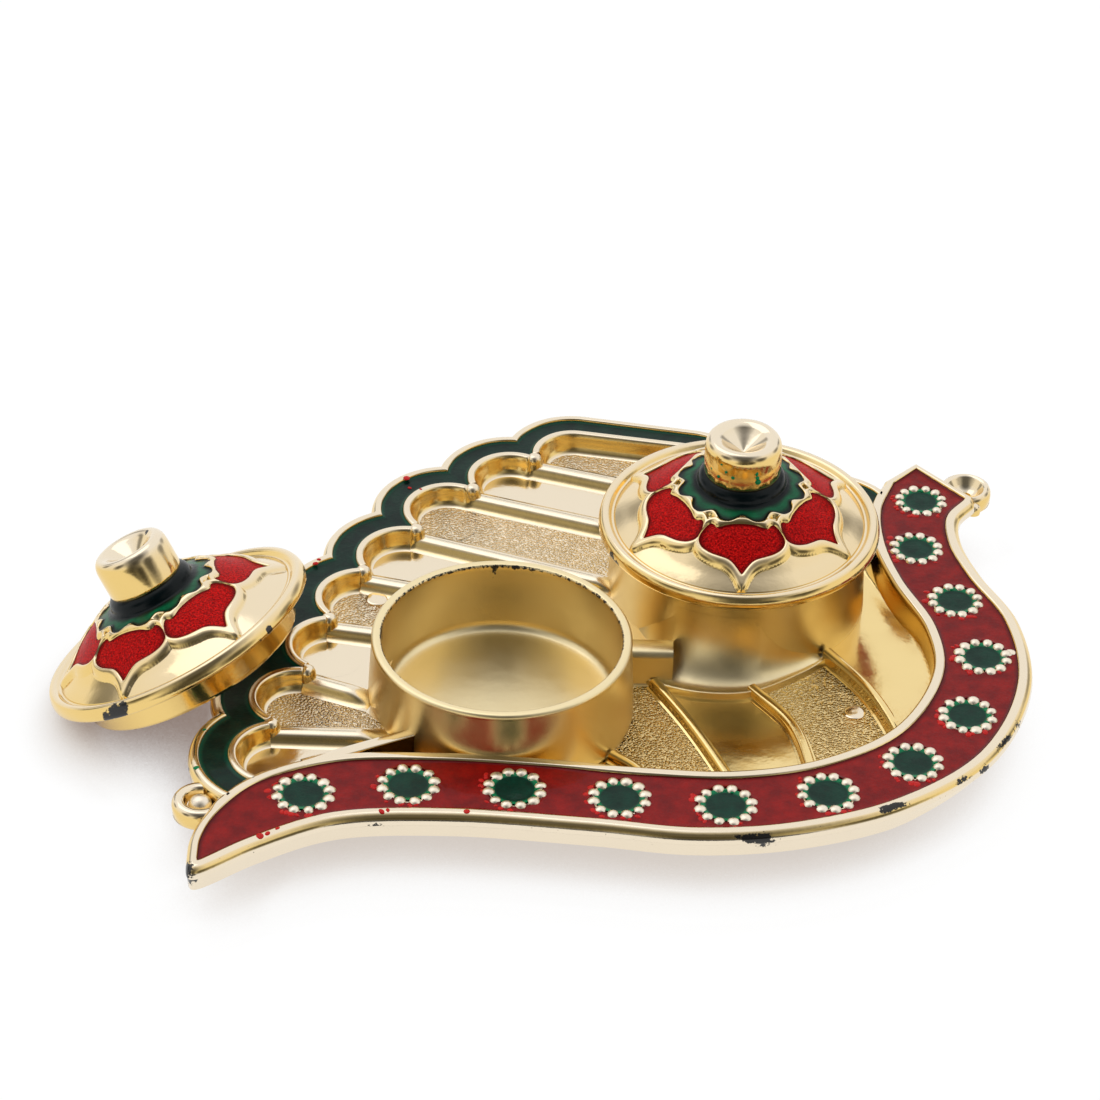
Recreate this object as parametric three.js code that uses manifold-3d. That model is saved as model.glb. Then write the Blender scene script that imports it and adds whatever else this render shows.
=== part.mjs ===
import * as THREE from 'three';
import { mergeVertices } from 'three/addons/utils/BufferGeometryUtils.js';
import Module from 'manifold-3d';

const wasm = await Module();
wasm.setup();

// Millimetres, Z up. X runs along the leaf, Y across it, the tail is at -X -Y.

// Levels of the tray, from the underside of its deep floor; the foot below that stands on the table
const footHeight = 3.0;
const rimTop = 5.3;
const flankFoot = 4.15;
const skirtFoot = 2.6;
const deckUnder = 3.6;
const pocketFloor = 4.5;
const redEnamelTop = 5.0;
const greenEnamelTop = 4.95;
const wellFloor = 3.2;
const wellUnder = 2.2;
const ridgeTop = 4.2;
const deepFloor = 1.0;
const rightFloor = 2.2;
const dividerTop = 1.9;
const flareFoot = 1.6;
const flareRise = 3.6;
const blockTop = 5.0;
const above = 8;
const below = -1;

// Widths in the tray
const outerRimWidth = 1.6;
const innerWallWidth = 1.2;
const lobeRimWidth = 1.1;
const innerRimWidth = 0.9;
const skirtWall = 1.0;
const coreWall = 1.1;
const footWidth = 1.4;
const footNeck = 0.8;
const ridgeWidth = 1.4;
const dividerWidth = 1.7;
const ribWidth = 1.25;
const blockWidth = 2.6;
const neckRadius = 1.2;
const enamelGap = 0.04;

// How finely round shapes are drawn
const spanSteps = 2;
const lobeSteps = 24;
const roundSteps = 36;
const lidSteps = 30;
const knobSteps = 24;
const smallSteps = 14;
const weld = 0.002;

// Cups
const cupRimTop = 10.0;
const cupInnerRadius = 12.05;
const cupWall = 0.95;
const cupDraft = 0.4;
const cupRimRadius = cupInnerRadius + cupWall;
const cupFootRadius = cupRimRadius + cupDraft;
const cupFloorThickness = 1.0;
const cupSeatGap = 0.25;
const cupOne = [-4.5, -25.4];
const cupTwo = [19.4, -5.5];

// Eyes at the tail and at the pointed end
const tailEye = [-33.5, -47.4];
const tailEyeRadius = 3.1;
const endEye = [44.2, 10.8];
const endEyeRadius = 2.7;
const endEyeHole = 0.68;

// Rosettes: a raised ring round a drop of green enamel
const rosetteRing = 1.05;
const rosetteRadius = 3.1;
const rosetteShrink = 0.05;
const rosetteFullSize = 6;
const rosetteCentres = [
  [-23.1, -45.1], [-13.0, -43.2], [-2.7, -43.3], [7.5, -44.2], [17.8, -44.8], [27.8, -42.4],
  [36.3, -37.2], [42.1, -29.3], [44.2, -19.6], [41.9, -10.1], [38.3, -1.1], [39.2, 7.6],
];

// Edges of the red band, from the tail round to the pointed end
const bandTail = [-32.5, -55.9];
const bandOuterPoints = [
  bandTail, [-27.6, -52.0], [-20.2, -48.0], [-9.3, -46.8], [5, -47.6], [15, -48.5], [24.8, -47.1],
  [34.6, -43.0], [42.9, -35.5], [47.4, -23.9], [46.8, -13.5], [43.5, -6.0], [41.7, 0.1], [41.8, 4.8],
  [43.9, 8.1],
];
const bandInnerPoints = [
  bandTail, [-32.4, -52.4], [-31.1, -48.5], [-27.4, -43.6], [-20.1, -40.2], [-10, -39.4], [0, -39.8],
  [10, -40.7], [19.2, -40.7], [27.6, -38.4], [35.5, -32.7], [40.1, -22.7], [39.7, -14.9], [36.6, -6.9],
  [35.1, -0.7], [35.0, 5.7], [36.5, 10.6],
];
const bandApex = [39.0, 13.4];
const outerTail = [-33.6, -58.6];

// Lobes of the scalloped edge: centre and radius of the inner edge of the green channel
const lobes = [
  [-25.8, -39.0, 5.1], [-24.7, -30.0, 4.85], [-21.7, -21.1, 4.8], [-19.0, -12.9, 5.0],
  [-15.0, -5.4, 5.2], [-10.8, 3.1, 4.88], [-4.4, 9.4, 4.7], [2.2, 14.1, 4.5],
  [14.0, 12.0, 4.8], [29.6, 4.8, 4.5],
];
const lobeCount = 8;
const channelWidest = 2.8;
const channelTaper = 0.12;

// Ridges between the wells: where each one ends, starting from the cusp at the tail side
const ridgeEnds = [
  [-15.5, -34.1], [-15, -27.5], [-15, -17.6], [-11, -10.0], [7.5, -7.7], [7.5, 2.4], [9, 10.3],
];

// Curved dividers on the deep floor, each from beside a cup out to the band
const dividerPaths = [
  [[6.8, -33.0], [9.6, -35.6], [12.6, -40.8]],
  [[11.0, -20.9], [14.6, -27.6], [17.9, -35.1], [20.3, -41.5]],
  [[20.9, -21.4], [24.8, -27.1], [26.4, -33.4], [27.0, -40.5]],
  [[28.7, -15.7], [32.5, -21.4], [34.8, -26.9], [36.4, -33.5]],
];

// Lid, measured up from the underside of its flange
const lidPlugClearance = 0.35;
const lidOverhang = 1.6;
const lidFlangeBand = 1.7;
const lidPlugRadius = cupInnerRadius - lidPlugClearance;
const lidFlangeRadius = cupRimRadius + lidOverhang;
const lidFlangeTop = 1.55;
const lidGroove = 1.1;
const lidDomeFoot = lidFlangeRadius - lidFlangeBand;
const lotusDrawnOn = 12.9;
const lotusScale = lidDomeFoot / lotusDrawnOn;
const lidPlugDepth = 3.2;
const lidPlugChamfer = 0.5;
const lidWall = 1.0;
const lidRibHeight = 0.35;
const lidPocketDepth = 0.3;
const lidEnamelDrop = 0.12;
const lidPetals = 6;
const centreValley = 5.7;
const centrePeak = 6.6;
const collarRadius = 4.15;
const collarTopRadius = 3.6;
const collarTop = 7.2;
const collarEnamel = 0.4;
const knobRadius = 3.95;
const knobTop = 11.4;
const knobRound = 0.8;
const knobDimpleRadius = 2.7;
const knobDimpleDepth = 1.7;
const knobPinRadius = 1.6;
const knobPinDepth = 0.9;
const knobSeatGap = 0.04;

// The loose lid leans on the scalloped edge with the low edge of its plug on the table
const looseCentre = [-37.0, -21.55];
const looseLean = 30.4;
const looseLowSide = 159;
const looseTurn = -17.25;

// Finishes
const gold = { color: 0xe3c98a, roughness: 0.18, metalness: 1.0 };
const redEnamel = { color: 0x9a1118, roughness: 0.12, metalness: 0.1 };
const greenEnamel = { color: 0x0b4a30, roughness: 0.12, metalness: 0.1 };

// Closed geometry to a solid and back
function solidOf(geometry) {
  const plain = geometry.clone();
  plain.deleteAttribute('normal');
  plain.deleteAttribute('uv');
  const welded = mergeVertices(plain, 1e-4);
  return new wasm.Manifold(new wasm.Mesh({
    numProp: 3,
    vertProperties: new Float32Array(welded.attributes.position.array),
    triVerts: new Uint32Array(welded.index.array),
  }));
}

// Vertices nearer than the weld distance become one, and faces that vanish with them are dropped
function geometryOf(solid) {
  const mesh = solid.getMesh();
  const snapped = new Float32Array(mesh.vertProperties).map((value) => Math.round(value / weld) * weld);
  const loose = new THREE.BufferGeometry();
  loose.setAttribute('position', new THREE.BufferAttribute(snapped, 3));
  loose.setIndex(new THREE.BufferAttribute(new Uint32Array(mesh.triVerts), 1));
  const geometry = mergeVertices(loose, weld / 10);
  const kept = [];
  const corners = geometry.index.array;
  for (let i = 0; i < corners.length; i += 3) {
    const [a, b, c] = corners.slice(i, i + 3);
    if (a !== b && b !== c && c !== a) {
      kept.push(a, b, c);
    }
  }
  geometry.setIndex(kept);
  geometry.computeVertexNormals();
  return geometry;
}

function union(solids) {
  let whole = solids[0];
  for (const solid of solids.slice(1)) {
    whole = whole.add(solid);
  }
  return whole;
}

// Points along a smooth line through a few given points
function smooth(points, perSpan = spanSteps) {
  const knots = points.map(([x, y]) => new THREE.Vector3(x, y, 0));
  const curve = new THREE.CatmullRomCurve3(knots, false, 'centripetal');
  const line = curve.getPoints((points.length - 1) * perSpan);
  return line.map((point) => [point.x, point.y]);
}

// A line moved sideways: positive moves it to the left of its own direction
function sideways(line, distance) {
  return line.map(([x, y], i) => {
    const [ax, ay] = line[Math.max(i - 1, 0)];
    const [bx, by] = line[Math.min(i + 1, line.length - 1)];
    const length = Math.hypot(bx - ax, by - ay);
    return [x - (by - ay) / length * distance, y + (bx - ax) / length * distance];
  });
}

function counterClockwise(outline) {
  const area = THREE.ShapeUtils.area(outline.map(([x, y]) => new THREE.Vector2(x, y)));
  return area < 0 ? [...outline].reverse() : outline;
}

// A closed outline drawn in by a distance, with square mitres kept short
function drawnIn(outline, inset) {
  const count = outline.length;
  return outline.map(([x, y], i) => {
    const [px, py] = outline[(i + count - 1) % count];
    const [nx, ny] = outline[(i + 1) % count];
    const before = new THREE.Vector2(x - px, y - py).normalize();
    const after = new THREE.Vector2(nx - x, ny - y).normalize();
    const inward = new THREE.Vector2(-before.y - after.y, before.x + after.x).normalize();
    const reach = inset / Math.max(inward.dot(new THREE.Vector2(-after.y, after.x)), 0.5);
    return [x + inward.x * reach, y + inward.y * reach];
  });
}

// A solid skinned over loops of points, foot first, all with the same count and counter-clockwise
function loft(loops) {
  const count = loops[0].length;
  const positions = loops.flat(2);
  const faces = THREE.ShapeUtils.triangulateShape(loops[0].map(([x, y]) => new THREE.Vector2(x, y)), []);
  const index = [];
  const last = (loops.length - 1) * count;
  for (const [a, b, c] of faces) {
    index.push(a, c, b);
    index.push(last + a, last + b, last + c);
  }
  for (let level = 0; level < loops.length - 1; level += 1) {
    for (let i = 0; i < count; i += 1) {
      const a = level * count + i;
      const b = level * count + (i + 1) % count;
      index.push(a, b, b + count);
      index.push(a, b + count, a + count);
    }
  }
  const geometry = new THREE.BufferGeometry();
  geometry.setAttribute('position', new THREE.Float32BufferAttribute(positions, 3));
  geometry.setIndex(index);
  return solidOf(geometry);
}

// One outline drawn in by a different amount at each level
function skin(rawOutline, levels) {
  const outline = counterClockwise(rawOutline);
  return loft(levels.map(([inset, z]) => {
    const edge = inset === 0 ? outline : drawnIn(outline, inset);
    return edge.map(([x, y]) => [x, y, z]);
  }));
}

function prism(outline, z0, z1, inset = 0) {
  return skin(outline, [[inset, z0], [inset, z1]]);
}

// A turned solid: the profile runs from the axis at the foot to the axis at the top
function turned(profile, segments = roundSteps) {
  const lathe = new THREE.LatheGeometry(profile.map(([r, z]) => new THREE.Vector2(r, z)), segments);
  lathe.rotateX(Math.PI / 2);
  return solidOf(lathe);
}

function post(x, y, radius, z0, z1, segments = roundSteps) {
  return prism(circlePoints(x, y, radius, segments), z0, z1);
}

function hull(points) {
  const sorted = [...points].sort((a, b) => a[0] - b[0] || a[1] - b[1]);
  const half = (list) => {
    const chain = [];
    for (const p of list) {
      while (chain.length > 1) {
        const [ax, ay] = chain[chain.length - 2];
        const [bx, by] = chain[chain.length - 1];
        if ((bx - ax) * (p[1] - ay) - (by - ay) * (p[0] - ax) > 0) break;
        chain.pop();
      }
      chain.push(p);
    }
    return chain.slice(0, -1);
  };
  return [...half(sorted), ...half(sorted.reverse())];
}

function circlePoints(x, y, radius, count = lobeSteps) {
  const points = [];
  for (let i = 0; i < count; i += 1) {
    const angle = i / count * 2 * Math.PI;
    points.push([x + radius * Math.cos(angle), y + radius * Math.sin(angle)]);
  }
  return points;
}

function bridge(a, b, z0, z1) {
  return prism(hull([...circlePoints(...a), ...circlePoints(...b)]), z0, z1);
}

// A bar along a line, rounded over at the top
function bar(line, width, foot, top, round = 0.35) {
  const outline = [...sideways(line, width / 2), ...sideways(line, -width / 2).reverse()];
  return skin(outline, [[0, foot], [0, top - round * 1.2], [round, top]]);
}

// The four long lines of the red band
const bandOuter = smooth(bandOuterPoints);
const bandInner = smooth(bandInnerPoints);

function bandOutline(share) {
  const outer = sideways(bandOuter, -outerRimWidth * share);
  const inner = sideways(bandInner, innerWallWidth * share);
  const [shoulderX, shoulderY] = bandOuterPoints.at(-1);
  const shoulder = [shoulderX + outerRimWidth * share * 0.7, shoulderY + outerRimWidth * share * 0.2];
  const apex = [bandApex[0], bandApex[1] + outerRimWidth * share * 0.8];
  const tail = [
    bandTail[0] + (outerTail[0] - bandTail[0]) * share,
    bandTail[1] + (outerTail[1] - bandTail[1]) * share,
  ];
  return [tail, ...outer.slice(1, -1), shoulder, apex, ...inner.slice(1).reverse()];
}

// Lobes grown by a margin that follows the taper of the green channel
function channelGrow(i) {
  return channelWidest - channelTaper * i;
}

function lobeBody(margin, z0, z1, neck = neckRadius) {
  const discs = lobes.map(([x, y, r], i) => [x, y, r + margin(i)]);
  const parts = discs.map(([x, y, r]) => post(x, y, r, z0, z1, lobeSteps));
  for (let i = lobeCount - 1; i < lobes.length - 1; i += 1) {
    parts.push(bridge(discs[i], discs[i + 1], z0, z1));
  }
  for (let i = 0; i < lobeCount - 1; i += 1) {
    const [ax, ay] = lobes[i];
    const [bx, by] = lobes[i + 1];
    parts.push(bridge([ax, ay, neck], [bx, by, neck], z0, z1));
  }
  return union(parts);
}

// Everything between the lobe centres and the inner line of the band
function heartOutline(inset = 0) {
  const centres = lobes.map(([x, y]) => [x, y]);
  const side = sideways(bandInner, inset);
  return [...side.slice(3 * spanSteps, 15 * spanSteps + 1), ...centres.reverse()];
}

function bandBody(share, z0, z1) {
  return prism(bandOutline(share), z0, z1);
}

// The whole leaf: a drafted skirt under a rim that is rounded down on its outside
function leafBody() {
  const levels = [[0.35, skirtFoot], [0.2, flankFoot - 0.05], [0, flankFoot], [0.25, 4.95], [0.85, rimTop]];
  const lobeLevels = levels.map(([inset, z]) => [inset * 0.6, z]);
  const parts = [skin(bandOutline(1), levels), prism(heartOutline(), skirtFoot, rimTop)];
  for (let i = 0; i < lobes.length; i += 1) {
    const [x, y, r] = lobes[i];
    const radius = r + channelGrow(i) + lobeRimWidth;
    parts.push(skin(circlePoints(x, y, radius), lobeLevels));
  }
  for (let i = lobeCount - 1; i < lobes.length - 1; i += 1) {
    const ends = [lobes[i], lobes[i + 1]].map(([x, y, r], j) => {
      return circlePoints(x, y, r + channelGrow(i + j) + lobeRimWidth);
    });
    parts.push(skin(hull(ends.flat()), lobeLevels));
  }
  return union(parts);
}

// The skirt dies away towards the rounded end of the leaf
function skirtFade() {
  const [start, end, beyond] = [34, 43, 60];
  const run = [
    [start, below - 1], [start, skirtFoot - 0.1], [end, flankFoot - 0.25], [beyond, flankFoot - 0.25],
    [beyond, below - 1],
  ];
  return prism(run, -70, 20).rotate(90, 0, 0).translate(0, -50, 0);
}

// The hollow under the deck that leaves only the skirt
function skirtHollow() {
  const lobed = lobeBody((i) => channelGrow(i) + lobeRimWidth - skirtWall, below, deckUnder);
  const heart = prism(heartOutline(), below, deckUnder);
  return lobed.add(prism(bandOutline(1), below, deckUnder, skirtWall)).add(heart);
}

// Deep region in front and to the right, bounded by the rib, both cups and the block
const ribLine = [[-23.4, -40.6], [-18.4, -38.0], [-12.6, -35.0]];
const blockLine = [[5, -19.5], [11.2, -19.5]];
const deepOutline = [
  ribLine[0], ribLine[1], ribLine[2], cupOne, blockLine[0], blockLine[1], cupTwo, [30, 2], [37, 3.5],
  [46, -8], [50, -30], [36, -46], [10, -47], [-24, -46],
];

function ridge(i) {
  const [ax, ay, ar] = lobes[i];
  const [bx, by, br] = lobes[i + 1];
  const gap = Math.hypot(bx - ax, by - ay);
  const along = (gap * gap + ar * ar - br * br) / (2 * gap);
  const out = Math.sqrt(ar * ar - along * along) - innerRimWidth / 2;
  const [ux, uy] = [(bx - ax) / gap, (by - ay) / gap];
  const cusp = [ax + ux * along - uy * out, ay + uy * along + ux * out];
  return bar([cusp, ridgeEnds[i]], ridgeWidth, wellFloor - 0.2, ridgeTop);
}

// The floor sweeps up to the wall of the lidded cup in a cove, widest in front and narrow at the right
function flare() {
  const front = smooth([[9.4, -19.6], [11.2, -20.8], [15.7, -22.4], [20.9, -22.2]], 4);
  const side = smooth([[21.3, -21.2], [25.2, -19.2], [28.7, -15.6], [31.4, -10.6], [32.6, -5.5]], 4);
  const outline = [...front, ...side];
  const [cx, cy] = cupTwo;
  const steps = [0, 0.2, 0.4, 0.6, 0.8, 1];
  const back = [[cx, cy], [10, -14]];
  const loops = steps.map((step) => {
    const swing = step * Math.PI / 2;
    const edge = outline.map(([x, y]) => {
      const reach = Math.hypot(x - cx, y - cy);
      const span = Math.max(reach - cupFootRadius, 0.05);
      const pull = 1 - span * Math.sin(swing) / reach;
      const rise = Math.min(flareRise, span) * (1 - Math.cos(swing));
      return [cx + (x - cx) * pull, cy + (y - cy) * pull, flareFoot + rise];
    });
    const top = flareFoot + flareRise * (1 - Math.cos(swing));
    return [...edge, ...back.map(([x, y]) => [x, y, top])];
  });
  const foot = loops[0].map(([x, y]) => [x, y, deepFloor - 0.2]);
  return loft([foot, ...loops]);
}

// An eye: a round ring with a dished middle, either round a small boss or pierced by a fine hole
function eye([x, y], outer, hole) {
  const foot = skirtFoot + 0.3;
  const top = rimTop - 0.4;
  const ring = [[outer, foot], [outer, top - 0.4], [outer - 0.4, top], [outer - 0.9, top]];
  const dish = top - 1;
  if (hole === 0) {
    const boss = [[outer - 1.4, dish], [1.15, dish], [1.0, dish + 0.6], [0.55, dish + 0.95], [0, top + 0.1]];
    return turned([[0, foot], ...ring, ...boss], knobSteps).translate(x, y, 0);
  }
  const profile = [[hole, foot], ...ring, [hole + 0.3, dish - 0.2], [hole, dish - 0.35], [hole, foot]];
  const lathe = new THREE.LatheGeometry(profile.map(([r, z]) => new THREE.Vector2(r, z)), knobSteps);
  lathe.rotateX(Math.PI / 2);
  return solidOf(lathe).translate(x, y, 0);
}

function rosetteSize(i) {
  return rosetteRadius - rosetteShrink * Math.max(0, i + 1 - rosetteFullSize);
}

function rosetteRings() {
  return rosetteCentres.map(([x, y], i) => {
    const outer = rosetteSize(i);
    const inner = outer - rosetteRing;
    const profile = [
      [inner, pocketFloor - 0.2], [outer, pocketFloor - 0.2], [outer - 0.25, rimTop], [inner + 0.25, rimTop],
      [inner, pocketFloor - 0.2],
    ];
    const ring = new THREE.LatheGeometry(profile.map(([r, z]) => new THREE.Vector2(r, z)), smallSteps);
    ring.rotateX(Math.PI / 2);
    return solidOf(ring).translate(x, y, 0);
  });
}

// The wall round the basin carries on below the floor as a foot
function footRing() {
  const rootedAt = deepFloor / 2;
  const outer = lobeBody(() => 0, -footHeight, rootedAt).add(prism(heartOutline(), -footHeight, rootedAt));
  const inner = lobeBody(() => -footWidth, below - footHeight, above, footNeck);
  return outer.subtract(inner.add(prism(heartOutline(footWidth), below - footHeight, above)));
}

// The moulded tray: leaf rim, wells, deep floor with dividers and cove, and seats for the two cups
function traySolid() {
  let tray = leafBody().subtract(skirtHollow()).subtract(skirtFade());
  const heart = prism(heartOutline(), 0, rimTop);
  tray = tray.add(lobeBody(() => 0, 0, rimTop)).add(heart);
  const bandKeep = bandBody(1, below, above);
  const heartCut = prism(heartOutline(), wellFloor, above);
  const wellCut = lobeBody(() => -innerRimWidth, wellFloor, above).add(heartCut);
  const deepCut = prism(deepOutline, deepFloor, above);
  const deepZone = prism(deepOutline, below - 1, above + 1, -coreWall);
  tray = tray.subtract(wellCut.subtract(bandKeep));
  tray = tray.subtract(deepCut.subtract(bandKeep));
  const seatRadius = cupFootRadius + cupSeatGap;
  const seatZone = [cupOne, cupTwo].map(([x, y]) => post(x, y, seatRadius + coreWall, below - 1, above));
  const heartCore = prism(heartOutline(), below, wellUnder);
  const coreShape = lobeBody(() => -innerRimWidth - coreWall, below, wellUnder).add(heartCore);
  tray = tray.subtract(coreShape.subtract(deepZone).subtract(union(seatZone)).subtract(bandKeep));
  const redPocket = prism(bandOutline(0), pocketFloor, above);
  const channelShape = lobeBody(channelGrow, pocketFloor, above);
  const channelHeart = lobeBody(() => 0, below, above + 1).add(prism(heartOutline(), below, above + 1));
  tray = tray.subtract(redPocket).subtract(channelShape.subtract(channelHeart).subtract(bandKeep));
  const rightPanel = [smooth(dividerPaths[3]), [[50, -34], [50, 2], [37, 3.5], [30, 2], cupTwo]].flat();
  const raised = prism(rightPanel, deepFloor - 0.2, rightFloor);
  const deepWell = prism(deepOutline, below, rimTop).intersect(prism(heartOutline(), below, rimTop));
  const dividers = dividerPaths.map((path) => {
    return bar(smooth(path), dividerWidth, deepFloor - 0.2, dividerTop, 0.5);
  });
  tray = tray.add(union([raised, flare(), ...dividers]).intersect(deepWell));
  const ridges = ridgeEnds.map((end, i) => ridge(i));
  const rib = bar(ribLine, ribWidth, deepFloor - 0.2, rimTop);
  const block = bar(blockLine, blockWidth, deepFloor - 0.2, blockTop, 0.6);
  tray = tray.add(union(ridges)).add(union([rib, block])).add(union(rosetteRings()));
  const eyeSpaces = [
    post(...tailEye, tailEyeRadius - 0.05, below, above),
    post(...endEye, endEyeRadius - 0.05, below, above),
  ];
  const eyes = [eye(tailEye, tailEyeRadius, 0), eye(endEye, endEyeRadius, endEyeHole)];
  tray = tray.subtract(union(eyeSpaces).subtract(bandKeep)).add(union(eyes).subtract(redPocket));
  for (const [x, y] of [cupOne, cupTwo]) {
    tray = tray.subtract(post(x, y, seatRadius, deepFloor, above));
  }
  return tray.add(footRing());
}

// A straight-sided cup with a slight draft and a flat rolled rim
function cupSolid([x, y]) {
  const floor = deepFloor + cupFloorThickness;
  const profile = [
    [0, deepFloor], [cupFootRadius, deepFloor], [cupRimRadius + 0.02, cupRimTop - 0.35],
    [cupRimRadius - 0.25, cupRimTop], [cupInnerRadius + 0.2, cupRimTop], [cupInnerRadius, cupRimTop - 0.25],
    [cupInnerRadius, floor + 0.8], [cupInnerRadius - 0.3, floor + 0.2], [cupInnerRadius - 0.9, floor],
    [0, floor],
  ];
  return turned(profile).translate(x, y, 0);
}

// Enamel poured into the pockets of the tray
function redBandEnamel() {
  const foot = pocketFloor + enamelGap;
  const sides = [[enamelGap, foot], [enamelGap, redEnamelTop - 0.08], [0.2, redEnamelTop]];
  const shape = skin(bandOutline(0), sides);
  const openings = rosetteCentres.map(([x, y], i) => {
    return post(x, y, rosetteSize(i) + enamelGap, below, above, smallSteps);
  });
  return shape.subtract(union(openings));
}

function greenChannelEnamel() {
  const shape = lobeBody((i) => channelGrow(i) - enamelGap, pocketFloor + enamelGap, greenEnamelTop);
  const inside = lobeBody(() => enamelGap, below, above).add(prism(heartOutline(), below, above, -enamelGap));
  return shape.subtract(inside).subtract(prism(bandOutline(1), below, above, -enamelGap));
}

function rosetteDrop(i) {
  const [x, y] = rosetteCentres[i];
  const radius = rosetteSize(i) - rosetteRing - enamelGap;
  const foot = pocketFloor + enamelGap;
  const profile = [
    [0, foot], [radius, foot], [radius, redEnamelTop - 0.1], [radius * 0.7, redEnamelTop], [0, redEnamelTop],
  ];
  return turned(profile, smallSteps).translate(x, y, 0);
}

// Height of the plain dome of the lid over its radius
const domeRadii = [collarRadius, 8 * lotusScale, 11.3 * lotusScale, lidDomeFoot];
const domeHeights = [5.8, 4.4, 2.1, 1.15];

function domeProfile(lift) {
  return domeRadii.map((r, i) => [r, domeHeights[i] + lift]);
}

function domeFill(lift) {
  const rings = domeProfile(lift).reverse();
  return turned([[0, 0.2], [lidDomeFoot, 0.2], ...rings, [0, rings.at(-1)[1]]], lidSteps);
}

// One petal seen from above, pointing along -Y before it is turned into place
function petalOutline(margin) {
  const halfSpread = Math.PI / lidPetals;
  const side = [
    [7.35 - margin, 0.86], [8.7, 0.93], [9.5 + margin * 0.7, 0.72], [10.0 + margin, 0.31],
    [10.55 + margin * 1.1, 0.11],
  ];
  const left = side.map(([r, share]) => {
    const angle = -Math.PI / 2 - halfSpread * share;
    const push = margin / r;
    return [r * Math.cos(angle - push), r * Math.sin(angle - push)];
  });
  const right = left.map(([x, y]) => [-x, y]).reverse();
  const tip = [0, -(11.3 + margin * 1.9)];
  const dip = [[2.5, -6.95 + margin], [0, -6.75 + margin], [-2.5, -6.95 + margin]];
  return [...left, tip, ...right, ...dip].map(([x, y]) => [x * lotusScale, y * lotusScale]);
}

function turnedOutline(outline, angle) {
  const [c, s] = [Math.cos(angle), Math.sin(angle)];
  return outline.map(([x, y]) => [x * c - y * s, x * s + y * c]);
}

// Twelve round lobes round the collar
function centreOutline(margin) {
  const points = [];
  const steps = 36;
  for (let i = 0; i < steps; i += 1) {
    const angle = i / steps * 2 * Math.PI;
    const radius = ((i % 3 === 0 ? centreValley : centrePeak) + margin) * lotusScale;
    points.push([radius * Math.cos(angle), radius * Math.sin(angle)]);
  }
  return points;
}

// Lid shell: flange, dome with a raised lotus, pockets for the enamel, and the plug below
function lidShell() {
  const plug = [
    [lidPlugRadius - lidWall, -lidPlugDepth], [lidPlugRadius - lidPlugChamfer, -lidPlugDepth],
    [lidPlugRadius, lidPlugChamfer - lidPlugDepth], [lidPlugRadius, 0], [lidFlangeRadius, 0],
    [lidFlangeRadius, 0.4], [lidFlangeRadius - 0.25, lidFlangeTop - 0.35],
    [lidFlangeRadius - 0.55, lidFlangeTop],
    [lidFlangeRadius - 1, lidFlangeTop], [lidDomeFoot + 0.25, lidGroove],
  ];
  const dome = domeProfile(0).reverse();
  const bore = lidPlugRadius - lidWall;
  const inside = [[bore, 0], [bore - 0.5, 1.7], [7 * lotusScale, 3.9], [0, 4.6]];
  const top = [[collarTopRadius, collarTop], [0, collarTop]];
  const outer = turned([[0, 0], [bore, 0], ...plug, ...dome, ...top], lidSteps);
  const hollow = turned([[0, below - lidPlugDepth], [bore, below - lidPlugDepth], ...inside], lidSteps);
  const margin = 0.62;
  const flower = [prism(centreOutline(margin), 0, above * 2)];
  for (let i = 0; i < lidPetals; i += 1) {
    flower.push(prism(turnedOutline(petalOutline(margin), i * Math.PI / 3), 0, above * 2));
  }
  const raised = union(flower).intersect(domeFill(lidRibHeight));
  let shell = outer.add(raised);
  const deep = domeFill(-lidPocketDepth);
  const petals = [];
  for (let i = 0; i < lidPetals; i += 1) {
    petals.push(prism(turnedOutline(petalOutline(0), i * Math.PI / 3), 0, above * 2));
  }
  const centre = prism(centreOutline(0), 0, above * 2).subtract(post(0, 0, collarRadius, below, above * 2));
  shell = shell.subtract(union([...petals, centre]).subtract(deep));
  const pinFoot = collarTop - knobPinDepth - knobSeatGap;
  const pinHole = post(0, 0, knobPinRadius + knobSeatGap, pinFoot, above * 2, knobSteps);
  return shell.subtract(hollow).subtract(pinHole);
}

function lidPetalEnamel(i) {
  const outline = turnedOutline(petalOutline(-enamelGap), i * Math.PI / 3);
  const slab = domeFill(lidRibHeight - lidEnamelDrop).subtract(domeFill(-lidPocketDepth + enamelGap));
  return prism(outline, 0, above * 2).intersect(slab);
}

// The green of the middle runs on up the collar to just below the knob
function lidCentreEnamel() {
  const slab = domeFill(lidRibHeight - lidEnamelDrop).subtract(domeFill(-lidPocketDepth + enamelGap));
  const ring = prism(centreOutline(-enamelGap), 0, above * 2).intersect(slab);
  const foot = domeHeights[0] - lidPocketDepth + enamelGap;
  const swell = collarRadius + collarEnamel;
  const sleeve = [
    [0, foot], [swell, foot], [swell, foot + 0.9], [collarTopRadius + 0.5, collarTop - 0.25],
    [collarTopRadius + 0.2, collarTop], [0, collarTop],
  ];
  const straight = domeHeights[0] + lidRibHeight + enamelGap;
  const neck = [
    [0, foot - 1], [collarRadius + enamelGap, foot - 1], [collarRadius + enamelGap, straight],
    [collarTopRadius + enamelGap * 2, collarTop + 0.1], [0, collarTop + 0.1],
  ];
  return ring.add(turned(sleeve, lidSteps)).subtract(turned(neck, lidSteps));
}

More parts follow.
